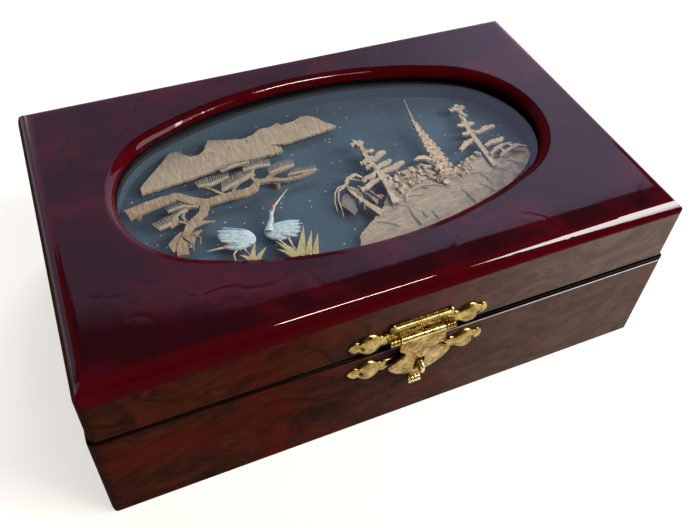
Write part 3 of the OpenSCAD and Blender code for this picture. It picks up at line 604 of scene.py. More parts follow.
def outline_face(bm, outline, z, rough=0.0, step=0.7):
    """Fills a closed line of (x, y). A rough one is first divided and shaken a little."""
    before = set(bm.edges)
    loop = [bm.verts.new((x, y, z)) for x, y in outline]
    for start, end in zip(loop, loop[1:] + loop[:1]):
        edge = bm.edges.new((start, end))
        for left in range(int(edge.calc_length() / step) if rough else 0, 0, -1):
            start = bmesh.utils.edge_split(edge, start, 1 / (left + 1))[1]
    wire = [e for e in bm.edges if e not in before]
    if rough:
        for v in {v for e in wire for v in e.verts}:
            wide, fine = noise.noise_vector(v.co * 1.7), noise.noise_vector(v.co * 4.3)
            shake = (wide + 0.6 * fine) * rough
            v.co.x += shake.x
            v.co.y += shake.y
    return bmesh.ops.edgenet_fill(bm, edges=wire)["faces"][0]


def block(bm, low, high, broken=0.15):
    size = [b - a for a, b in zip(low, high)]
    middle = [(a + b) / 2 for a, b in zip(low, high)]
    made = bmesh.ops.create_cube(bm, size=1, matrix=shift(middle)
                                 @ Matrix.Diagonal((*size, 1)))["verts"]
    bevelled(bm, list({e for v in made for e in v.link_edges}), broken, 2)


def wire_along(bm, path, sides=10, z=0.0):
    """A closed wire through points of (x, y, height above z, radius), ring by ring."""
    points = [Vector((x, y, z + up)) for x, y, up, _ in path]
    rings = []
    for i, point in enumerate(points):
        run = points[min(i + 1, len(path) - 1)] - points[max(i - 1, 0)]
        place = shift(point) @ run.to_track_quat("Z", "X").to_matrix().to_4x4()
        ring = bmesh.ops.create_circle(bm, segments=sides, radius=path[i][3], matrix=place,
                                       cap_ends=i in (0, len(path) - 1))["verts"]
        rings.append(list({e for v in ring for e in v.link_edges
                           if all(w in ring for w in e.verts)}))
    for a, b in zip(rings, rings[1:]):
        bmesh.ops.bridge_loops(bm, edges=a + b)


# %% [markdown]
# ## The clasp
#
# The clasp is pressed from thin brass: two plates whose arms end in acorns with a bud at
# the tip, a bar with two long beads, and a leaf that hangs from a pin and is chased with a
# leaf's veins. A pressed relief could be carved by displacement, but half of a turned
# shape, flattened, has the same soft crown and clean edges. Everything is drawn lying flat
# and then stood up against the front.

# %% Clasp measures
CLASP_X = 2.0
LID_FACE, BASE_FACE = -61.4, -62.0      # the fronts of the lid and the base
PIN_Z, PLATE_Z = 49.5, 37.0             # heights of the pin and of the lower plate
PIN_OUT, EYE = 2.5, 1.35                # the pin's distance from the lid, and its knuckles
EYE_X, NAIL_X = 9.65, 19.6              # knuckles and nails, to both sides of the middle
ARMS_RISE = 0.5                         # the upper arms' height above the pin
SHEET = 0.8                             # the thickness of the brass
EDGE = 0.42                             # the thickness of the arms' flat edge
BACK = PIN_OUT + EYE - SHEET            # the leaf's back, from the lid
SLOT = (1.8, -11.3, -18.5)              # half its width, its upper and its lower end
BEND, LEAN, SKEW = -4.4, 1.5, 0.7       # where it bends, how far in, and its tongue aside
TIP_Y, ROLL_Y = -24.2, -24.0            # the tongue's end, and its roll
STAND_UP = turned(90, "X")
ON_LID = shift((CLASP_X, LID_FACE, PIN_Z)) @ STAND_UP
ON_BASE = shift((CLASP_X, BASE_FACE, PLATE_Z)) @ STAND_UP
HALF_ARM = [(10.4, 2.1), (11.2, 2.4), (11.9, 2.9), (12.5, 2.75), (13.1, 2.35), (13.9, 2.6),
            (14.9, 3.6), (16.0, 4.45), (17.2, 4.75), (18.3, 4.55), (19.2, 3.9), (19.9, 3.1),
            (20.4, 2.5), (20.75, 2.3), (21.1, 2.45), (21.7, 2.75), (22.4, 2.65), (23.1, 2.0),
            (23.7, 1.1), (24.2, 0.0)]
BEADS = [(3.0, 0.4), (3.0, 1.35), (3.3, 1.75), (3.9, 1.8), (4.25, 1.5), (4.45, 1.35),
         (4.75, 1.55), (5.2, 1.62), (5.9, 1.62), (6.2, 1.45), (6.35, 1.7), (6.75, 2.05),
         (7.25, 2.05), (7.65, 1.75), (7.9, 1.2), (8.0, 0.4)]
EAR = [(-0.9, 0), (-0.85, 0.5), (-0.5, 0.85), (0.0, 0.95), (0.5, 0.8), (0.95, 0.35),
       (1.15, 0)]
HALF_LEAF = [(7.8, 0.0), (7.8, BEND), (6.4, -5.9), (5.6, -7.0), (6.6, -8.4), (8.4, -10.0),
             (9.9, -11.2), (11.0, -12.5), (10.6, -14.2), (9.4, -16.0), (7.4, -17.9),
             (4.6, -19.4), (2.2, -20.1), (2.2, TIP_Y)]
NAIL = [(-5.9, 0), (-5.9, 0.48), (1.5, 0.48), (1.55, 0.95), (1.75, 0.98), (1.95, 0.8),
        (2.02, 0.45), (1.98, 0)]


def pressed_arms(bm, rise):
    """Both arms in one: a turned shape, halved and flattened, on a thin flat edge."""
    made = spun(bm, both_ways(HALF_ARM), degrees=180, steps=28)
    bmesh.ops.scale(bm, vec=(1, 1, 0.40), verts=made)
    for v in made:
        side = abs(v.co.y) / 4.8
        if abs(v.co.x) > 20.8:          # three petals close the bud
            petal = 0.5 + 0.5 * math.cos(3 * math.atan2(v.co.y, max(v.co.z, 1e-6) * 2.5))
            v.co.z *= 0.78 + 0.34 * petal
        elif abs(v.co.x) > 13.4:        # a bead follows the acorn's edge
            v.co.z += 0.16 * math.sin(math.pi * min(side * 1.25, 1)) ** 2 * (v.co.z > 0.05)
    bmesh.ops.translate(bm, vec=(0, rise, EDGE), verts=made)
    inside = set(made)
    rim = [e for e in bm.edges if e.is_boundary and e.verts[0] in inside]
    pulled(bm, bmesh.ops.holes_fill(bm, edges=rim, sides=0)["faces"], (0, 0, -EDGE))


# %% Upper plate
bm = bmesh.new()
pressed_arms(bm, ARMS_RISE)
block(bm, (-10.7, -0.9, 0.0), (10.7, 6.3, SHEET), 0.2)
half = 10.5                             # the bar's
face = bm.faces.new([bm.verts.new((-half, 2.4 + 0.76 * (y - 3.0), z)) for y, z in BEADS])
pulled(bm, [face], (2 * half, 0, 0))
for side in (-1, 1):
    end = 1.64                          # a knuckle with two grooves turned round it
    ridges = [(0.35, 1.34), (0.6, 1.0), (0.85, 1.34), (end - 0.25, 1.34), (end, 1.1), (end, 0)]
    spun(bm, both_ways(ridges), place=shift((side * EYE_X, 0, PIN_OUT)))
    block(bm, (side * EYE_X - 1.6, -0.85, 0.2), (side * EYE_X + 1.6, 0.85, PIN_OUT))
    spun(bm, EAR, steps=16, place=shift((side * 9.9, 6.0, 0.95)) @ turned(90, "Z"))
upper_plate = piece_from(bm, "clasp_upper_plate_pressed", "lid", "brass", "clasp_upper_plate",
                         turn=ON_LID, finish=PALE_BRASS)
print("upper plate faces:", len(upper_plate.data.polygons))

# %% Lower plate
bm = bmesh.new()
pressed_arms(bm, 0.0)
block(bm, (-9.6, -2.4, 0.0), (9.6, 2.4, SHEET), 0.2)
block(bm, (-4.6, -5.8, 0.0), (4.6, 0.0, SHEET), 0.2)
piece_from(bm, "clasp_lower_plate_pressed", "base", "brass", "clasp_lower_plate",
           turn=ON_BASE, finish=PALE_BRASS)

# %% Leaf
bm = bmesh.new()
outline_face(bm, HALF_LEAF + [(-x, y) for x, y in reversed(HALF_LEAF)], BACK)
for x in (SLOT[0], -SLOT[0]):
    divided(bm, (x, 0, 0), (1, 0, 0))
for y in (SLOT[1], SLOT[2], BEND):
    divided(bm, (0, y, 0), (0, 1, 0))
slot_faces = [f for f in bm.faces if abs(f.calc_center_median().x) < SLOT[0]
              and SLOT[2] < f.calc_center_median().y < SLOT[1]]
bmesh.ops.delete(bm, geom=slot_faces, context="FACES")
for x in range(-10, 11):
    divided(bm, (x, 0, 0), (1, 0, 0))
front = set(pulled(bm, bm.faces[:], (0, 0, SHEET)))
rim = [e for e in bm.edges if all(v in front for v in e.verts)
       and e.calc_face_angle(0) > math.radians(60)]
bevelled(bm, rim, 0.28, 3)
for v in bm.verts:
    if v.co.y < -5 and v.co.z > BACK + 0.3:     # the wings bow forward a little
        v.co.z += 0.45 * (1 - (v.co.x / 11.5) ** 2) * min(1, (-5 - v.co.y) / 4)
    v.co.z -= LEAN * max(0, (BEND - v.co.y) / (BEND - TIP_Y))
    v.co.x -= SKEW * max(0, min(1, (-19.0 - v.co.y) / 4))
clasp_leaf = piece_from(bm, "clasp_leaf_chased", "hasp", "brass", "clasp_leaf", turn=ON_LID,
                        finish=CHASED_BRASS)
print("leaf faces:", len(clasp_leaf.data.polygons))

# %% The leaf's roll and barrel, and the nails
GROOVE = (0.0, 1.12)
ROLL = [(0.25, 1.38), (0.85, 1.38), (1.1, 1.12), (1.35, 1.38), (2.0, 1.38), (2.2, 1.1),
        (2.2, 0)]
BARREL = [(7.55, 1.34), (7.78, 1.15), (7.78, 0)]
# the roll and the barrel are finished in the paler brasses as painted highlight
for name, profile, steps, place, finish in (
        ("clasp_leaf_roll", both_ways(ROLL, GROOVE), 32,
         (-SKEW, ROLL_Y, BACK + 1.4 - LEAN), ROLL_HIGHLIGHT_BRASS),
        ("clasp_barrel", both_ways(BARREL), 40, (0, 0, PIN_OUT), BRIGHT_BRASS)):
    bm = bmesh.new()
    spun(bm, profile, steps=steps, place=shift(place))
    piece_from(bm, name, "hasp", "brass", turn=ON_LID, finish=finish)
for name, body, rise, turn in (("clasp_upper_nails", "lid", ARMS_RISE, ON_LID),
                               ("clasp_lower_nails", "base", 0.0, ON_BASE)):
    bm = bmesh.new()
    for side in (-1, 1):
        spun(bm, NAIL, steps=20, place=shift((side * NAIL_X, rise, 0)) @ turned(-90, "Y"))
    piece_from(bm, name + "_domed", body, "brass", name, turn=turn, finish=DARK_BRASS)
smooth_copy("clasp_staple", "clasp_staple_bent", "base", crease=50)
print("roll, barrel, nails and staple made")

# %% [markdown]
# ## The cork landscape
#
# Behind the glass lies a small landscape in the common craft of cork cutting: hills, a
# pine, cranes, an island with trees and a pagoda, in up to three layers above a slate
# coloured board. On a real one each piece is cut from thin cork with a knife, its edge a
# little torn, and set on small posts. So each outline here is filled, shaken a little and
# raised. Drawing it all as a picture on the board would be quicker, but the layers would
# throw no shadows.

# %% Cutting helpers
OVER = shift((0.8, 2.6, 0.0))           # the middle of the window
FIRST, SECOND, THIRD = 58.8, 59.8, 60.8     # the underside of each layer
FOOT = 57.0                             # where the lowest posts stand
CORK = 1.0
ON_SHEET = FIRST + CORK


def cut_out(bm, outline, z, thick=CORK, rough=0.0, step=0.7, broken=0.08):
    """A slab of this outline, its upper corner broken by a small bevel."""
    face = outline_face(bm, outline, z, rough, step)
    bottom = face.calc_center_median().z
    top = pulled(bm, [face], (0, 0, thick))
    if broken:
        bevelled(bm, list({e for v in top for e in v.link_edges
                           if all(w.co.z > bottom + thick / 2 for w in e.verts)}), broken)


def strips(bm, lines, z, thick=CORK, rough=0.0, step=0.7, broken=0.08, rise=0.0):
    """Slabs along lines of (x, y, width), each one rise above the last."""
    for line in lines:
        spots = [Vector(p[:2]) for p in line]
        left, right = [], []
        for i, p in enumerate(line):
            run = spots[min(i + 1, len(spots) - 1)] - spots[max(i - 1, 0)]
            aside = Vector((-run.y, run.x)).normalized() * p[2] / 2
            left.append(tuple(spots[i] + aside))
            right.append(tuple(spots[i] - aside))
        cut_out(bm, left + right[::-1], z, thick, rough, step, broken)
        z += rise


def part_way(line, t):
    """The point a share t of the way through a line of points."""
    place = min(t, 0.9999) * (len(line) - 1)
    i = int(place)
    return Vector(line[i]).lerp(Vector(line[i + 1]), place - i)


def comb(bm, base, tips, count, z):
    """A twig of needles: a low rough body along base, and needles up to the tips."""
    def at(t, share):
        return part_way(base, t).lerp(part_way(tips, t), share)

    low = [at(i / 6, 0) for i in range(7)]
    high = [at(i / 6, 0.3) for i in range(7)]
    cut_out(bm, [tuple(v) for v in low + high[::-1]], z, 0.8, 0.12)
    for i in range(count):
        t = (i + 0.5) / count
        shake = noise.noise_vector(Vector((i * 1.37, base[0][0], z)))
        foot, tip = at(t, 0.3 * 0.6), part_way(tips, t) + shake.xy * 0.45
        run = (tip - foot).to_3d()
        height = Vector((0, 0, z + 0.35 + 0.25 * shake.z))
        place = (shift((foot.to_3d() + tip.to_3d()) / 2 + height)
                 @ Matrix.Rotation(math.atan2(run.y, run.x), 4, "Z")
                 @ Matrix.Diagonal((run.length, 0.26, 0.35, 1)))
        made = bmesh.ops.create_cube(bm, size=1, matrix=place)["verts"]
        sharp = sorted(made, key=lambda v: (v.co.xy - tip).length)[:4]
        middle = sum((v.co for v in sharp), Vector()) / 4
        for v in sharp:
            v.co = middle.lerp(v.co, 0.45)


def posts(bm, spots, high, low=FOOT):
    """The little posts that a cut-out stands on."""
    for x, y in spots:
        spun(bm, [(low, 0), (low, 1.3), (high, 1.3), (high, 0)], steps=12,
             place=shift((x, y, 0)) @ turned(-90, "Y"))


def lumps(bm, spots, z, size, seed):
    """Knobbly crumbs of cork at spots."""
    for i, spot in enumerate(spots):
        r = noise.noise_vector(Vector((i * 2.31, seed, 5.2)))
        place = shift((spot[0] + r.y * size * 0.5, spot[1] + r.z * size * 0.5, z))
        made = bmesh.ops.create_icosphere(bm, subdivisions=1, radius=size * (1 + 0.6 * r.x),
                                          matrix=place)["verts"]
        for v in made:
            v.co += noise.noise_vector(v.co * 2.7) * 0.8 * size
            v.co.z = z + (v.co.z - z) * 0.75


def to_lid(bm, name, finish, *replaced, crease=30, slot="cork"):
    piece_from(bm, name, "lid", slot, *replaced, turn=OVER, crease=crease, finish=finish)


# %% Hills
bm = bmesh.new()
hills = [(-66.5, 12.5), (-66.5, 15.5), (-62, 20.5), (-56.5, 26), (-53.5, 29.5), (-50.5, 29.5),
         (-46.5, 25.5), (-43.5, 25.5), (-41, 27.5), (-38.5, 32), (-32, 30), (-26.5, 28.5),
         (-22, 29.5), (-18.5, 32), (-14.5, 31.5), (-11.5, 33), (-10, 31.5), (-5, 32),
         (-2, 33.5), (0.5, 33.5), (4, 31), (5, 28.5), (9, 24), (5.5, 23), (-3.5, 22),
         (-12.5, 21), (-18, 22), (-14.5, 19.5), (-14.5, 17), (-28.5, 17), (-39.5, 15.5)]
cut_out(bm, hills, FIRST, rough=0.32, step=0.6)
posts(bm, [(-58, 19), (-36, 24), (-14, 27)], FIRST)
to_lid(bm, "hills_cut", HILL_CORK, "cork_mountain")
bm = bmesh.new()
knots = [[(x, y - 0.9, 0.3), (x + 0.1, y, 0.6), (x - 0.1, y + 0.9, 0.25)] for x, y in (
    (-38.9, 24.2), (-32.3, 25.3), (-31.2, 23.6), (-25.2, 26.8), (-4.6, 30.4))]
strips(bm, knots, ON_SHEET, 0.06, 0.15, 0.3, 0)
to_lid(bm, "hills_knots", SMOKED_CORK)
print("hills made")

# %% Pine
bm = bmesh.new()
trunk = [(-73.2, 3.6, 4.8), (-65, 5.6, 4.2), (-56.2, 6.6, 3.6), (-51.5, 2.6, 3.4),
         (-47.5, 0.4, 3.2), (-40, 0.8, 3.2), (-34, 0.6, 3.4), (-30.6, 1.4, 3.2),
         (-28.4, 4.2, 2.6), (-24.0, 3.6, 1.9), (-19.3, 1.9, 1.5), (-14.2, 1.6, 1.3),
         (-8, 2.6, 0.9)]
fork = [(-47.8, 0.8, 3.0), (-49.8, -4.0, 3.0), (-55.0, -7.6, 2.8), (-57.9, -12.4, 2.6),
        (-59.8, -16.0, 3.2), (-60.6, -19.6, 3.8)]
strips(bm, [trunk], SECOND, rough=0.16)
strips(bm, [fork], SECOND + 0.02, rough=0.2)
strips(bm, ([(-46, 1.5, 1.3), (-50, 0.2, 1.0), (-55, 0.0, 0.9), (-60, -3, 0.8)],
            [(-55, -7, 1.3), (-58.5, -5, 1.0), (-61.5, -6.4, 0.9)],
            [(-55.5, -7, 1.0), (-56.6, -3.4, 0.9), (-55.4, -1.0, 0.8)],
            [(-41, 1.6, 1.5), (-43.5, 5, 1.0), (-46, 7.6, 0.9)],
            [(-38, 1.4, 1.3), (-36.4, 4.6, 1.0), (-33, 7.2, 0.8)],
            [(-29, 4.6, 1.5), (-30, 8, 1.2), (-27.5, 11.2, 1.0)],
            [(-25, 4.4, 1.6), (-21.5, 6.6, 1.2), (-17, 7.2, 0.9)]), SECOND + 0.05, 0.9, 0.1)
posts(bm, [(-70, 4.6), (-48, 0.8), (-22, 2.8), (-60, -16)], SECOND)
to_lid(bm, "pine_trunk", TREE_CORK, "cork_pine")

bm = bmesh.new()
TWIGS = (([(-23.5, 6.4), (-18.7, 6.6), (-13.8, 7.4)],
          [(-23.2, 9.6), (-18.3, 12.0), (-12.7, 11.2)], 20),
         ([(-31.5, 10.6), (-26.4, 11.0), (-21.6, 10.2)],
          [(-30.8, 14.8), (-26.5, 15.6), (-20.7, 14.1)], 20),
         ([(-17.7, 3.4), (-12.3, 2.9), (-7.1, 2.6)],
          [(-16.6, 5.2), (-12.4, 6.7), (-6.3, 5.3)], 18),
         ([(-38.8, 13.2), (-33.5, 14.2), (-28.5, 14.2)],
          [(-39.8, 15.8), (-33.6, 17.6), (-27.2, 17.2)], 18),
         ([(-48.3, 8.3), (-44.3, 7.4), (-37.0, 9.6)],
          [(-48.4, 11.6), (-43.8, 12.4), (-36.4, 12.5)], 22),
         ([(-41.2, 3.6), (-35.2, 5.4), (-28.1, 7.7)],
          [(-40.6, 8.0), (-34.8, 10.8), (-29.2, 12.6)], 24),
         ([(-60.5, 0.2), (-55.3, 0.8), (-50.8, -1.2)],
          [(-60.8, 2.8), (-55.0, 4.2), (-49.6, 1.9)], 17),
         ([(-60.6, -4.8), (-57.2, -1.9), (-54.3, -1.4)],
          [(-62.0, -2.0), (-57.6, 1.0), (-53.8, 0.9)], 14),
         ([(-65.0, -6.6), (-61.9, -6.1), (-58.1, -3.9)],
          [(-67.0, -3.0), (-62.6, -1.6), (-58.4, -0.8)], 17))
for base, tips, count in TWIGS:
    comb(bm, base, tips, count, SECOND + 0.3)
to_lid(bm, "pine_needles", NEEDLE_CORK)

bm = bmesh.new()
strips(bm, [[(-56.4, -10.4, 0.8), (-53.6, -8.4, 1.6), (-50.6, -8.0, 1.3), (-46.9, -8.9, 0.2)]],
       SECOND + 0.4, 0.5)
strips(bm, ([(-62.6, -17.6, 1.0), (-62.6, -14.4, 2.6), (-60.6, -11.6, 1.4), (-58.6, -10.2, 0.4)],
            [(-57.6, -17.8, 0.6), (-56.4, -14.2, 2.2), (-54.4, -12.2, 1.6), (-52.2, -11.4, 0.4)],
            [(-61.4, -18.6, 0.9), (-60.9, -14.8, 1.6), (-59.4, -12.2, 0.8)]),
       SECOND + 0.7, 0.5, 0.35, 0.5)
for root in ([(-59.5, -13, 1.2, 0.5), (-61.8, -17, 1.2, 0.3), (-62.2, -19.6, 1.2, 0.2)],
             [(-58.6, -12.6, 1.2, 0.4), (-56.6, -16.4, 1.2, 0.3), (-56.8, -19.4, 1.2, 0.2)],
             [(-55.4, -12.8, 1.2, 0.4), (-53.6, -14.6, 1.2, 0.3), (-54.4, -17.4, 1.2, 0.2)]):
    wire_along(bm, root, 6, SECOND)
to_lid(bm, "pine_foot", TREE_CORK)
print("pine made")


# %% [markdown]
# ### Cranes
#
# The birds are white pith, carved round. Each body is a turned shape that is flattened, with
# thin feathers laid over it, and the neck, bill and legs are wires. Both birds are made
# alike, so one recipe reads them from a list.

# %% Cranes
PITH_WHITE = FINISH["white_pith"]
FEATHER_SHADE = tint("painted_feather_shade", (0.13, 0.19, 0.23), (0.25, 0.32, 0.37))
CROWN_RED = tint("crown_red", (0.28, 0.02, 0.02), (0.50, 0.05, 0.04))
BILL = tint("bill", (0.34, 0.24, 0.17), (0.58, 0.47, 0.36))
FEATHER = [(0, 0.0), (0.08, 0.55), (0.3, 0.95), (0.6, 1.0), (0.85, 0.7), (1.0, 0.0)]
BODY = [(0, 0), (0.03, 0.34), (0.1, 0.62), (0.24, 0.9), (0.42, 1.0), (0.62, 0.92),
        (0.8, 0.66), (0.93, 0.3), (1, 0)]
BIRD_Z = SECOND + 0.75
# A body is root, tip, width and height; a feather root, tip and width; a point of a wire
# x, y, height and radius; and a crown its spots, height, size and seed.
CRANES = (
    dict(name="feeding", post=(-43, -18),
         bodies=(((-37.4, -21.6), (-48.6, -15.2), 8.4, 0),
                 ((-38.6, -22.6), (-43.5, -18.5), 4.4, 0.15)),
         neck=[(-39.4, -22.4, 0, 0.9), (-42, -23.0, 0.1, 0.85), (-44.6, -22.8, 0.1, 0.75),
               (-46.6, -21.6, 0, 0.7), (-47.6, -20.9, 0, 0.45)],
         wing_z=0.95,
         wing=(((-39.5, -18.2), (-48.2, -14.2), 1.8), ((-40.2, -19.6), (-48.6, -15.8), 1.7),
               ((-40.8, -20.6), (-48.6, -17.2), 1.6), ((-41.8, -21.4), (-48.4, -18.6), 1.5)),
         shade_z=0.92,
         shade=(((-39.6, -17.0), (-46.6, -13.2), 1.1), ((-40.4, -18.9), (-48.5, -15.0), 0.7),
                ((-41.0, -20.1), (-48.6, -16.5), 0.7), ((-42.0, -21.0), (-48.4, -17.9), 0.7)),
         limbs=([(-47.4, -21.0, 0, 0.45), (-50, -20.8, 0, 0.3), (-53.2, -20.6, 0, 0.12)],
                [(-43.6, -22.6, 0, 0.45), (-45.8, -24.6, -0.2, 0.3), (-45.9, -28.4, -0.2, 0.26)],
                [(-42.4, -23.0, 0, 0.45), (-41.4, -25.4, -0.2, 0.3), (-41.2, -28.8, -0.2, 0.26)]),
         crown=([(-46.9, -20.6), (-47.6, -20.7)], 0.35, 0.55, 3.1)),
    dict(name="standing", post=(-30, -20.5),
         bodies=(((-34.0, -19.4), (-23.6, -22.6), 6.6, 0),),
         neck=[(-32.6, -20.0, 0, 1.7), (-31.2, -17.0, 0.1, 1.2), (-29.9, -14.6, 0.2, 0.8),
               (-29.2, -12.4, 0.2, 0.7), (-28.3, -10.6, 0.2, 0.85), (-27.4, -9.6, 0.2, 0.6)],
         wing_z=0.85,
         wing=(((-31.4, -18.0), (-21.4, -18.8), 1.9), ((-31.2, -19.2), (-21.6, -20.2), 1.8),
               ((-31.0, -20.2), (-22.0, -21.8), 1.8), ((-30.4, -21.2), (-22.8, -23.4), 1.7),
               ((-29.4, -22.2), (-24.4, -25.0), 1.3)),
         shade_z=0.84,
         shade=(((-31.0, -17.2), (-23.4, -17.8), 0.9), ((-31.0, -18.6), (-21.4, -19.5), 0.7),
                ((-30.8, -19.7), (-21.8, -21.0), 0.7), ((-30.4, -20.7), (-22.3, -22.6), 0.7),
                ((-29.8, -21.7), (-23.5, -24.2), 0.7)),
         limbs=([(-27.4, -9.6, 0.2, 0.45), (-24, -6.4, 0.2, 0.3), (-20.2, -3.0, 0.2, 0.12)],
                [(-31.2, -22.2, 0, 0.5), (-29.4, -26.4, -0.2, 0.34), (-25.8, -31.8, -0.2, 0.3)],
                [(-27.4, -23.6, 0, 0.5), (-27.2, -27.6, -0.2, 0.32), (-26.2, -31.8, -0.2, 0.3)]),
         crown=([(-28.3, -10.3), (-27.5, -9.3), (-28.6, -11.2)], 0.75, 0.6, 1.7)))


def laid(bm, shape, root, tip, width, height, flatness, steps=10):
    """A turned shape from root to tip, flattened, and laid this height above BIRD_Z."""
    run = Vector(tip) - Vector(root)
    made = spun(bm, [(x * run.length, r * width / 2) for x, r in shape], steps=steps)
    bmesh.ops.scale(bm, vec=(1, 1, flatness), verts=made)
    bmesh.ops.transform(bm, matrix=shift((*root, BIRD_Z + height))
                        @ Matrix.Rotation(math.atan2(run.y, run.x), 4, "Z"), verts=made)


def of_bird(bm, name, finish, *replaced, crease=60):
    to_lid(bm, name, finish, *replaced, crease=crease, slot="white_pith")


for bird in CRANES:
    crane = bird["name"] + "_crane_"
    bm = bmesh.new()
    for root, tip, width, height in bird["bodies"]:
        laid(bm, BODY, root, tip, width, height, 0.30, 28)
    wire_along(bm, bird["neck"], z=BIRD_Z)
    posts(bm, [bird["post"]], SECOND + 0.3)
    of_bird(bm, crane + "body", PITH_WHITE, "crane_" + bird["name"], crease=50)
    # the grey shade feathers laid between the white ones are painted shade along the creases
    for part, flatness, finish in (("wing", 0.3, PITH_WHITE), ("shade", 0.5, FEATHER_SHADE)):
        bm = bmesh.new()
        for root, tip, width in bird[part]:
            laid(bm, FEATHER, root, tip, width, bird[part + "_z"], flatness)
        of_bird(bm, crane + part, finish)
    bm = bmesh.new()
    for limb in bird["limbs"]:
        wire_along(bm, limb, 8, BIRD_Z)
    of_bird(bm, crane + "bill_and_legs", BILL, crease=50)
    bm = bmesh.new()
    spots, height, size, seed = bird["crown"]
    lumps(bm, spots, BIRD_Z + height, size, seed)
    of_bird(bm, crane + "crown", CROWN_RED)

# %% Grass
bm = bmesh.new()
strips(bm, ([(-26.7, -33.2, 3.0), (-24.0, -27.8, 2.0), (-21.2, -21.4, 0.1)],
            [(-24.2, -33.8, 2.4), (-22.0, -29.2, 1.5), (-19.5, -24.4, 0.1)],
            [(-22.0, -34.4, 2.2), (-20.2, -30.4, 1.4), (-18.0, -26.2, 0.1)],
            [(-27.6, -33.2, 2.4), (-29.4, -29.2, 1.6), (-32.0, -24.8, 0.1)],
            [(-28.8, -32.6, 1.8), (-30.6, -30.0, 1.2), (-32.8, -28.2, 0.1)],
            [(-41.4, -30.0, 2.2), (-40.0, -26.8, 1.4), (-38.2, -23.0, 0.1)],
            [(-40.2, -30.6, 2.0), (-38.2, -28.4, 1.3), (-35.6, -26.2, 0.1)],
            [(-41.6, -29.6, 1.6), (-43.2, -27.6, 1.0), (-44.6, -26.4, 0.1)]),
       THIRD + 0.1, 0.55, broken=0.2, rise=0.04)
posts(bm, [(-21.8, -32.4), (-40.5, -29)], THIRD + 0.1)
to_lid(bm, "grass_blades", STRAW, "cork_grass", crease=25)
print("cranes and grass made")

# %% [markdown]
# ### The island
#
# The island is one large sheet with trees and a pagoda over it. Its bushes are crumbs of
# cork glued along the crest, and its banks are drawn with a few dark strokes.

# %% Island
bm = bmesh.new()
island = [(-5, -30.5), (-6.5, -35), (1, -35.5), (11.5, -35.5), (22.5, -34.5), (34.5, -33),
          (45, -30), (55, -26.5), (64.5, -21), (70, -16), (71, -12), (68.4, -10), (62, -9.2),
          (55.5, -9), (50.5, -8.8), (46, -10.4), (42.6, -12.4), (39.6, -14.2), (36.4, -12.6),
          (32.4, -9.6), (28.6, -7.6), (22.4, -7.4), (17.8, -8.8), (13.6, -11.4), (11.2, -16.6),
          (7.2, -22), (0.8, -26.4)]
cut_out(bm, island, FIRST, rough=0.45, step=0.6)
posts(bm, [(2, -31), (20, -22), (40, -25), (62, -15)], FIRST)
to_lid(bm, "island_cut", ISLAND_CORK, "cork_island")

bm = bmesh.new()
BANKS = (([(13.4, -12.0), (17.8, -9.0), (22.4, -7.6), (28.6, -8.0), (32.4, -10.2),
           (36.4, -13.4)], 1.1, 34),
         ([(14.0, -14.6), (19, -11.2), (25, -10.4), (31, -12.0), (35, -15.4)], 1.3, 40),
         ([(14.4, -18.4), (19, -14.8), (25, -13.2), (31, -15.0), (34, -18.0)], 1.1, 34),
         ([(39.4, -14.2), (42.6, -12.6), (46.4, -10.4), (50.5, -9.0), (55, -9.4)], 1.1, 24),
         ([(40, -16.6), (43.5, -15.2), (46.5, -14.0)], 1.3, 14))
for row, (line, spread, count) in enumerate(BANKS):
    spots = []
    for i in range(count):
        shake = noise.noise_vector(Vector((i * 3.7, row * 5.1, 0.4))) * spread * 1.6
        spots.append(part_way(line, (i + 0.5) / count) + shake.xy)
    for start in range(3):
        lumps(bm, spots[start::3], ON_SHEET + 0.05 + 0.2 * start, 0.62 + 0.22 * start,
              row + start * 0.37)
to_lid(bm, "island_bushes", PALE_CORK, crease=20)

bm = bmesh.new()
strips(bm, ([(12.9, -11.4, .5), (12.6, -17, .7), (12.3, -21.8, .9), (15.3, -23.8, .5)],
            [(15.6, -24, .5), (15.4, -28.5, .8), (15.9, -33.6, 1.3)],
            [(19.2, -27.6, .9), (19.4, -31.0, 1.1)], [(22.4, -28.9, .7), (22.8, -33.0, .9)],
            [(37.0, -22.6, .5), (37.8, -25.6, 1.0), (38.4, -30.6, 1.2)],
            [(53.0, -10.4, .5), (53.3, -13.6, .9), (54.0, -17.0, .6), (57.4, -20.2, .5)],
            [(43.8, -17.2, .4), (46.8, -17.6, .6), (48.4, -20.4, .9), (48.8, -24.4, .6)],
            [(29.4, -15.6, .5), (31.0, -17.6, 1.5), (32.4, -18.0, .5)],
            [(24.0, -17.0, .3), (25.2, -18.2, 1.1), (26.2, -18.6, .3)],
            [(60.0, -15.4, .4), (62.2, -16.6, .8), (62.8, -19.0, .5)],
            [(2.2, -26.8, .3), (6.4, -28.8, .6), (8.8, -31.4, .8)],
            [(44.5, -22.6, .4), (47.0, -26.0, .7), (47.6, -28.4, .4)],
            [(56.6, -12.6, .3), (59.6, -13.2, .5), (61.2, -14.8, .4)]),
       ON_SHEET - 0.03, 0.07, 0.22, 0.4, 0)
to_lid(bm, "island_strokes", tint("ink", (0.05, 0.055, 0.062), (0.13, 0.125, 0.125), 0.8))

bm = bmesh.new()
for path in ([(15.9, -22.0, 60.0, .3), (17.2, -19.6, 60.2, .34), (19.8, -17.6, 60.3, .34),
              (24.0, -16.6, 60.2, .3), (28.6, -17.6, 60.2, .26), (31.6, -19.0, 60.1, .2)],
             [(17.2, -19.6, 60.2, .26), (19.8, -19.9, 60.2, .24), (23.0, -20.8, 60.1, .2)]):
    wire_along(bm, path, 7)
to_lid(bm, "island_path", PALE_CORK, crease=50)


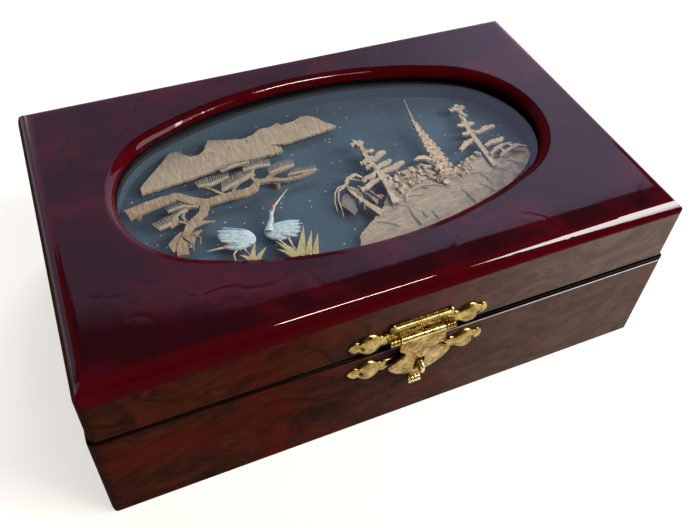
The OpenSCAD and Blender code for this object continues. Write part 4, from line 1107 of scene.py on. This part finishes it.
# %% Conifers
def conifer(bm, trunk, boughs, crown, z):
    strips(bm, [trunk], z, rough=0.3, step=0.5)
    for i, (start, end, width) in enumerate(boughs):
        line = []
        for k, (t, share) in enumerate(((0, 0.8), (0.3, 1.0), (0.55, 1.25), (0.8, 1.05),
                                        (1, 0.7))):
            spot = Vector(start).lerp(Vector(end), t)
            line.append((spot.x, spot.y + 0.35 * math.sin(2.1 * k + i), share * width))
        strips(bm, [line], z + 0.12 + 0.09 * (i % 3), 0.9, 0.34, 0.45, 0.12)
    lumps(bm, crown, z + 0.75, 1.0, trunk[0][0])


bm = bmesh.new()
conifer(bm, [(11.6, -22.6, 2.2), (12.7, -12, 2.0), (12.3, -4, 1.8), (11.6, 3, 1.7),
             (12.3, 9.4, 1.6)],
        [((8.7, 9.6), (13.8, 10.0), 1.9), ((11.8, 5.0), (15.8, 4.3), 1.3),
         ((8.0, -0.8), (14.0, 1.2), 1.6), ((13.0, -0.6), (19.2, 3.0), 1.8),
         ((9.0, -3.2), (12.5, -2.6), 1.4), ((12.4, -5.0), (19.0, -2.6), 1.7),
         ((5.2, -9.2), (11.6, -6.6), 1.7), ((12.6, -7.6), (23.4, -5.0), 1.9),
         ((2.9, -13.2), (10.6, -10.0), 1.5), ((10.6, -9.8), (15.0, -9.4), 1.7)],
        [(9.4, 10.2), (11.0, 11.2), (12.4, 10.6), (11.6, 7.0), (12.2, 4.6), (11.0, 8.8)],
        THIRD)
posts(bm, [(13, -20), (14.5, -12.5)], THIRD, ON_SHEET)
to_lid(bm, "left_conifer_cut", PALE_CORK, "cork_conifer_left", crease=25)
bm = bmesh.new()
conifer(bm, [(54.0, -17, 1.9), (54.4, -9, 2.0), (54.6, -2, 2.0), (54.9, 4, 2.0),
             (55.8, 10, 2.1), (57.2, 15, 2.0)],
        [((53.6, 16.8), (60.0, 16.9), 2.2), ((51.9, 7.2), (58.8, 6.6), 1.7),
         ((51.2, 2.0), (56.5, 2.6), 1.7), ((56.0, 1.6), (65.6, 3.2), 1.7),
         ((46.2, -5.0), (53.4, -1.2), 1.7), ((56.0, -6.2), (64.8, -4.8), 1.8)],
        [(55.0, 17.6), (57.0, 18.2), (58.8, 17.4), (56.4, 13.6), (57.6, 12.0), (55.6, 10.0),
         (56.8, 8.4)], SECOND)
posts(bm, [(55, 3)], SECOND)
to_lid(bm, "right_conifer_cut", PALE_CORK, "cork_conifer_right", crease=25)

# %% Pagoda
bm = bmesh.new()
middle = [(35.4, -15.0), (35.7, -8), (36.1, -2), (36.2, 3), (36.3, 8.5), (36.6, 13.6)]
eave = [(-1, -0.9), (-0.5, -1.3), (0.5, -1.3), (1, -0.9), (0.72, 0.5), (0.5, 1.7), (-0.5, 1.7),
        (-0.72, 0.5)]
for tier in range(11):
    t = tier / 10
    spot, half = part_way(middle, t), 3.9 - 2.9 * t ** 1.15
    cut_out(bm, [(spot.x + x * half, spot.y + y) for x, y in eave], THIRD + 0.1 * (tier % 2),
            1.0, 0.35, 0.5, 0.15)
    lumps(bm, [(spot.x + half * k / 3, spot.y - 0.4) for k in range(-2, 3)], THIRD + 1.05,
          0.25 + 0.42 * half / 3.9, tier * 1.3)
wire_along(bm, [(36.5, 13.2, 0.6, 0.5), (37.4, 18, 0.6, 0.34), (38.3, 23, 0.6, 0.24),
                (39.3, 28.2, 0.6, 0.12)], 8, THIRD)
posts(bm, [(33.5, -18.5), (35, -15.5)], THIRD, ON_SHEET)
wire_along(bm, [(36.0, -15.6, 0.3, .35), (33.6, -11, 0.3, .4), (31.4, -6.6, 0.3, .4)], 7, THIRD)
strips(bm, [[(33.6, -7.6, 0.8), (31.4, -5.2, 2.4), (29.4, -4.6, 1.9), (27.2, -5.0, 0.4)]],
       THIRD + 0.1, 0.7, 0.35, 0.5)
to_lid(bm, "pagoda_cut", PAGODA_CORK, "cork_pagoda", crease=20)

# %% Willow, hut and pavilion
bm = bmesh.new()
strips(bm, [[(5.8, -24.4, 2.8), (3.6, -20.6, 2.2), (1.4, -15.4, 1.5), (-0.2, -11.2, 1.2),
             (-0.6, -7.6, 1.1)]], SECOND, rough=0.2)
strips(bm, [[(-1.0, -8.4, 1.2), (1.6, -5.0, 1.5), (4.6, -4.0, 1.5), (6.8, -6.6, 1.0)]],
       SECOND + 0.05, 0.8, 0.2)
for strand in ([(-0.4, -8.0), (-3.4, -8.2), (-5.6, -10.4), (-7.2, -14.4), (-8.0, -18.8)],
               [(-1.0, -8.4), (-4.0, -9.8), (-5.6, -13.6), (-6.2, -17.8), (-7.0, -21.8)],
               [(0.0, -9.4), (1.8, -11.6), (2.6, -14.6), (2.0, -18.2), (1.0, -21.0)],
               [(0.6, -9.6), (3.4, -12.6), (5.2, -15.4), (6.0, -19.0)],
               [(1.6, -5.6), (4.6, -7.4), (5.8, -10.6), (5.6, -13.2)],
               [(-0.6, -8.6), (1.2, -12.4), (1.4, -15.4), (0.6, -17.8)],
               [(3.0, -10.0), (6.2, -13.0), (7.2, -16.2), (8.6, -18.6)]):
    wire_along(bm, [(x, y, 0.85 - 0.05 * i, 0.42 - 0.07 * i)
                    for i, (x, y) in enumerate(strand)], 7, SECOND)
posts(bm, [(0.2, -9.6), (3.2, -20)], SECOND)
to_lid(bm, "willow_cut", PALE_CORK, "cork_willow", crease=40)
for name, lift, spot, finish, outline in (
        ("hut_cut", 0.2, (-2.4, -16.4), SMOKED_CORK,
         [(-5.4, -15.6), (-3.6, -12.0), (-0.6, -10.2), (-0.4, -15), (-1.0, -19.8),
          (-3.0, -21.2), (-4.0, -18.6)]),
        ("hut_eave_cut", 0.6, (6.6, -17.0), TREE_CORK,
         [(4.6, -15.4), (9.6, -15.6), (10.4, -17.0), (7.8, -17.4), (6.2, -19.4),
          (5.4, -18.0)])):
    bm = bmesh.new()
    cut_out(bm, outline, FIRST + lift, 0.7, 0.2)
    posts(bm, [spot], FIRST + lift + 0.1)
    to_lid(bm, name, finish)
bm = bmesh.new()
strips(bm, ([(54.8, -11.8, 0.8), (58.4, -9.8, 1.5), (62.0, -8.6, 1.2), (65.8, -8.8, 0.5)],
            [(57.6, -14.0, 0.7), (61.6, -12.2, 1.3), (64.8, -11.2, 1.1), (67.8, -11.2, 0.4)],
            [(63.6, -9.6, 0.5), (67.0, -10.6, 1.2), (70.0, -12.6, 0.5)],
            [(60.0, -10.4, 1.0), (60.4, -13.4, 1.0)], [(64.6, -9.6, 0.9), (64.4, -12.4, 0.9)]),
       THIRD, 0.8, 0.22, 0.5, rise=0.05)
posts(bm, [(66, -11.5), (60.4, -11.5)], THIRD, ON_SHEET)
to_lid(bm, "pavilion_cut", ROOF_CORK, "cork_pavilion")
print("island made")

# %% [markdown]
# ## The velvet inside
#
# The inside is lined with velvet over card, with a loose pad in the main room and four
# stuffed rolls that grip rings between them. The card keeps its panels flat, so those are
# CAD boxes with their edges rounded. The pad and the rolls are stuffed, so their shapes
# come from a cloth simulation: a slightly small form is blown up by a little pressure and
# held to the few millimetres that real wadding gives.

# %% Covered panels
def rounded_copy(node, name, body, radius):
    piece = smooth_copy(node, name, body)
    bevel = piece.modifiers.new("soften", "BEVEL")
    bevel.width, bevel.segments, bevel.limit_method = radius * MM, 3, "ANGLE"
    piece.modifiers.move(len(piece.modifiers) - 1, 0)


for node in ("base_lining_front", "base_lining_right", "base_lining_back",
             "base_lining_left", "divider"):
    rounded_copy(node, node + "_covered", "base", 0.6)
rounded_copy("lid_lining", "lid_lining_covered", "lid", 0.5)
rounded_copy("lid_mirror", "lid_mirror_bevelled", "lid", 0.45)
print("covered panels made")

# %% Stuffed pieces
PRESSURE, MOMENTS = 4, 20


def stuffed(bm, name, replaced, voxel, cap, low, high):
    """Blows a form up as cloth, moves no point more than cap, and keeps it inside a box."""
    shrunk(bm)
    mesh = bpy.data.meshes.new(name)
    bm.to_mesh(mesh)
    bm.free()
    piece = placed(name, mesh)
    even = piece.modifiers.new("even", "REMESH")
    even.mode, even.voxel_size = "VOXEL", voxel * MM

    def settle():
        """Keeps the shape that the modifiers give, and clears them."""
        seen = piece.evaluated_get(bpy.context.evaluated_depsgraph_get())
        piece.data = bpy.data.meshes.new_from_object(seen)
        piece.modifiers.clear()

    settle()
    start = [v.co.copy() for v in piece.data.vertices]
    cloth = piece.modifiers.new("stuff", "CLOTH")
    cloth.settings.use_pressure = True
    cloth.settings.uniform_pressure_force = PRESSURE
    cloth.settings.effector_weights.gravity = 0
    cloth.settings.quality = 4
    cloth.point_cache.frame_start, cloth.point_cache.frame_end = 1, MOMENTS
    for moment in range(1, MOMENTS + 1):
        bpy.context.scene.frame_set(moment)
    settle()
    bpy.context.scene.frame_set(1)
    for v, was in zip(piece.data.vertices, start):
        move = v.co - was
        if move.length > cap * MM:
            v.co = was + move.normalized() * cap * MM
        for i in range(3):
            v.co[i] = min(max(v.co[i], low[i] * MM), high[i] * MM)
    for f in piece.data.polygons:
        f.use_smooth = True
    smooth = piece.modifiers.new("smooth", "SUBSURF")
    smooth.levels = smooth.render_levels = 1
    hand_over(piece, "base", "lining_fabric", *replaced)
    print(name, "points:", len(piece.data.vertices))


# The pad: a flat cushion, a little smaller than its room
bm = bmesh.new()
block(bm, (-35.7, -50.7, 5.0), (88.7, 50.7, 7.6), 0.9)
stuffed(bm, "pad_stuffed", ("base_pad",), 2.2, 1.4, (-36.4, -51.4, 4.8), (89.4, 51.4, 9.6))

# Four ring rolls: half-round forms with pinched ends
RING_ROLL = both_ways([(47, 5.3), (49.6, 4.6), (50.6, 3.4), (50.6, 0)])
for i in range(4):
    middle = -89.5 + 12.5 * (i + 0.5)
    bm = bmesh.new()
    for v in spun(bm, RING_ROLL, steps=24, place=shift((middle, 0, 11.7)) @ turned(90, "Z")):
        v.co.z = max(v.co.z, 7.0)
    stuffed(bm, "ring_roll_%d" % (i + 1), ("ring_rolls",) if i == 0 else (), 1.5, 0.8,
            (middle - 6.2, -51.4, 6.8), (middle + 6.2, 51.4, 18.2))

# %% [markdown]
# ### Seams, braid and screws
#
# The pad's two cloths meet in a corded seam, and a twisted gold braid hides the mirror's
# edge. A twist could be a striped material, but two wires wound round each other catch the
# light as real threads do.

# %% Corded seam and twisted braid
SEAM_MIDDLE = Vector((26.5, 0, 6.9))
BRAID_Z = 52.6
TURNS = 150
WIDE, DEEP = 0.62, 0.34                 # how far the strands swing, across and in height


def frame_path(half_w, half_d, corner):
    """Points round a rectangle with rounded corners, centred on the origin."""
    bm = bmesh.new()
    bmesh.ops.create_grid(bm, x_segments=1, y_segments=1, size=1)
    bmesh.ops.scale(bm, vec=(half_w, half_d, 1), verts=bm.verts)
    bevelled(bm, bm.verts[:], corner, 5, "VERTICES")
    loop = max(bm.faces, key=lambda f: f.calc_area()).loops[0]
    points = []
    for _ in range(len(bm.verts)):
        points.append(loop.vert.co.copy())
        loop = loop.link_loop_next
    bm.free()
    return points


def corded(name, strands, radius, body, slot, *replaced):
    """Round cords along closed lines of points, as one piece."""
    curve = bpy.data.curves.new(name, "CURVE")
    curve.dimensions, curve.bevel_depth, curve.bevel_resolution = "3D", radius * MM, 1
    for strand in strands:
        spline = curve.splines.new("POLY")
        spline.points.add(len(strand) - 1)
        for point, place in zip(spline.points, strand):
            point.co = (*(place * MM), 1)
        spline.use_cyclic_u = True
    line = bpy.data.objects.new(name, curve)
    mesh = bpy.data.meshes.new_from_object(line)
    bpy.data.objects.remove(line)
    for f in mesh.polygons:
        f.use_smooth = True
    hand_over(placed(name, mesh), body, slot, *replaced)


def evenly(points, step):
    """The same closed line with points at even distances."""
    made = []
    for a, b in zip(points, points[1:] + points[:1]):
        count = max(1, round((b - a).length / step))
        made += [a.lerp(b, k / count) for k in range(count)]
    return made


corded("pad_seam", [[p + SEAM_MIDDLE for p in frame_path(62.7, 51.1, 2.5)]], 0.55, "base",
       "lining_fabric")
line = evenly(frame_path(75.0, 37.0, 2.0), 0.5)
strands = [[], []]
for k, p in enumerate(line):
    run = line[(k + 1) % len(line)] - line[k - 1]
    side = Vector((-run.y, run.x, 0)).normalized()
    for strand, phase in zip(strands, (0, math.pi)):
        turn = 2 * math.pi * TURNS * k / len(line) + phase
        strand.append(p + side * WIDE * math.cos(turn)
                      + Vector((0, 0, BRAID_Z + DEEP * math.sin(turn))))
corded("mirror_braid_twisted", strands, 0.6, "lid", "braid", "mirror_braid")
print("braid points:", 2 * len(line))

# %% Screw slots
# painted shade: dark bars on the hinge screws' heads stand for the shade in their slots
for body, height in (("base", 43.97), ("lid", 44.33)):
    bm = bmesh.new()
    for x in (-67.5, -52.5, 52.5, 67.5):
        bmesh.ops.create_cube(bm, size=1, matrix=shift((x, 55.2, height))
                              @ Matrix.Rotation(0.7 + x, 4, "Z")
                              @ Matrix.Diagonal((1.9, 0.34, 0.1, 1)))
    piece_from(bm, body + "_screw_slots", body, "brass", finish=DARK_BRASS)

# %% [markdown]
# ## Floor and light
#
# A studio floor that curves up behind would also do, but a flat pale floor is enough here.
# One tall window lamp gives the lacquer its broad pale veil, a narrow lamp overhead draws
# the thin bright line along its rounded edge, and a soft one at the back fills the shade.

# %% Floor and lamps
MIDDLE = Vector((0, 0, 0.05))           # lengths from here on are in metres


def floor():
    """A floor that looks pale to the camera, and throws a softer light on the box."""
    bm = bmesh.new()
    bmesh.ops.create_grid(bm, x_segments=1, y_segments=1, size=3.0)
    mesh = bpy.data.meshes.new("floor")
    bm.to_mesh(mesh)
    bm.free()
    obj = placed("floor", mesh)
    p = Paint("pale_floor")
    matt = p.add("ShaderNodeBsdfDiffuse", [(0.35, 0.34, 0.33)])["BSDF"]
    pale = p.add("ShaderNodeEmission", {"Color": (1, 0.96, 0.91), "Strength": 0.7})["Emission"]
    path = p.add("ShaderNodeLightPath")
    seen = p.most(path["Is Camera Ray"], path["Is Glossy Ray"], path["Is Transmission Ray"])
    both = p.add("ShaderNodeAddShader", [matt, pale])["Shader"]
    bright = p.add("ShaderNodeBsdfDiffuse", [(0.8, 0.78, 0.75)])["BSDF"]
    wear(obj, p.finish(p.add("ShaderNodeMixShader", [seen, bright, both])["Shader"]))


def lamp(name, azimuth, elevation, size, power, colour, roll=0, distance=1.5):
    """A soft lamp that faces the box. Its azimuth turns right from the back."""
    data = bpy.data.lights.new(name, "AREA")
    data.shape = "RECTANGLE"
    data.size, data.size_y = size
    data.energy = power
    data.color = colour
    obj = placed(name, data)
    a, e = math.radians(azimuth), math.radians(elevation)
    away = Vector((math.sin(a) * math.cos(e), math.cos(a) * math.cos(e), math.sin(e)))
    obj.location = MIDDLE + away * distance
    facing = (-away).to_track_quat("-Z", "Y").to_matrix()
    obj.rotation_euler = (facing @ Matrix.Rotation(math.radians(roll), 3, "Z")).to_euler()
    return obj


floor()
lamp("tall_window", 122, 31, (0.75, 0.95), 38, (1.0, 0.99, 0.97))
lamp("lamp_overhead", 148.5, 61, (0.34, 0.07), 6, (1.0, 0.88, 0.78), roll=-22)
fill = lamp("back_fill", 20, 42, (0.9, 0.6), 21, (0.96, 0.98, 1.0))
fill.visible_glossy = False

# %% A dim room with a pale wall along the floor and a broad window behind
WINDOW_TOP, WINDOW_SLOPE = 1.393, 0.16  # its upper edge: height for depth, and for width

world = bpy.data.worlds.new("studio")
bpy.context.scene.world = world
p = Paint("room", world)
x, y, z = p.split(p.place["Generated"])
across = p.maths("DIVIDE", x, p.maths("MAXIMUM", y, 0.05))
slope = p.times(p.maths("MINIMUM", across, 0.45), WINDOW_SLOPE)
steep = p.less(z, p.maths("ADD", p.times(y, WINDOW_TOP), slope))
window = p.times(p.span(steep, -0.115, -0.045, 1, 0), p.span(y, 0.0, 0.2))
pale = p.mix(p.span(across, 0.3, 0.85), (0.33, 0.33, 0.50), (0.80, 0.84, 1.26))
room = p.mix(window, (0.035, 0.030, 0.032), pale)
room = p.mix(p.span(z, 0.0, 0.04, 1, 0), room, (1, 1, 1))
p.add("ShaderNodeOutputWorld", [p.add("ShaderNodeBackground", [room, 1.0])["Background"]])
bpy.context.scene.view_settings.view_transform = "Standard"
print("lamps and room made")
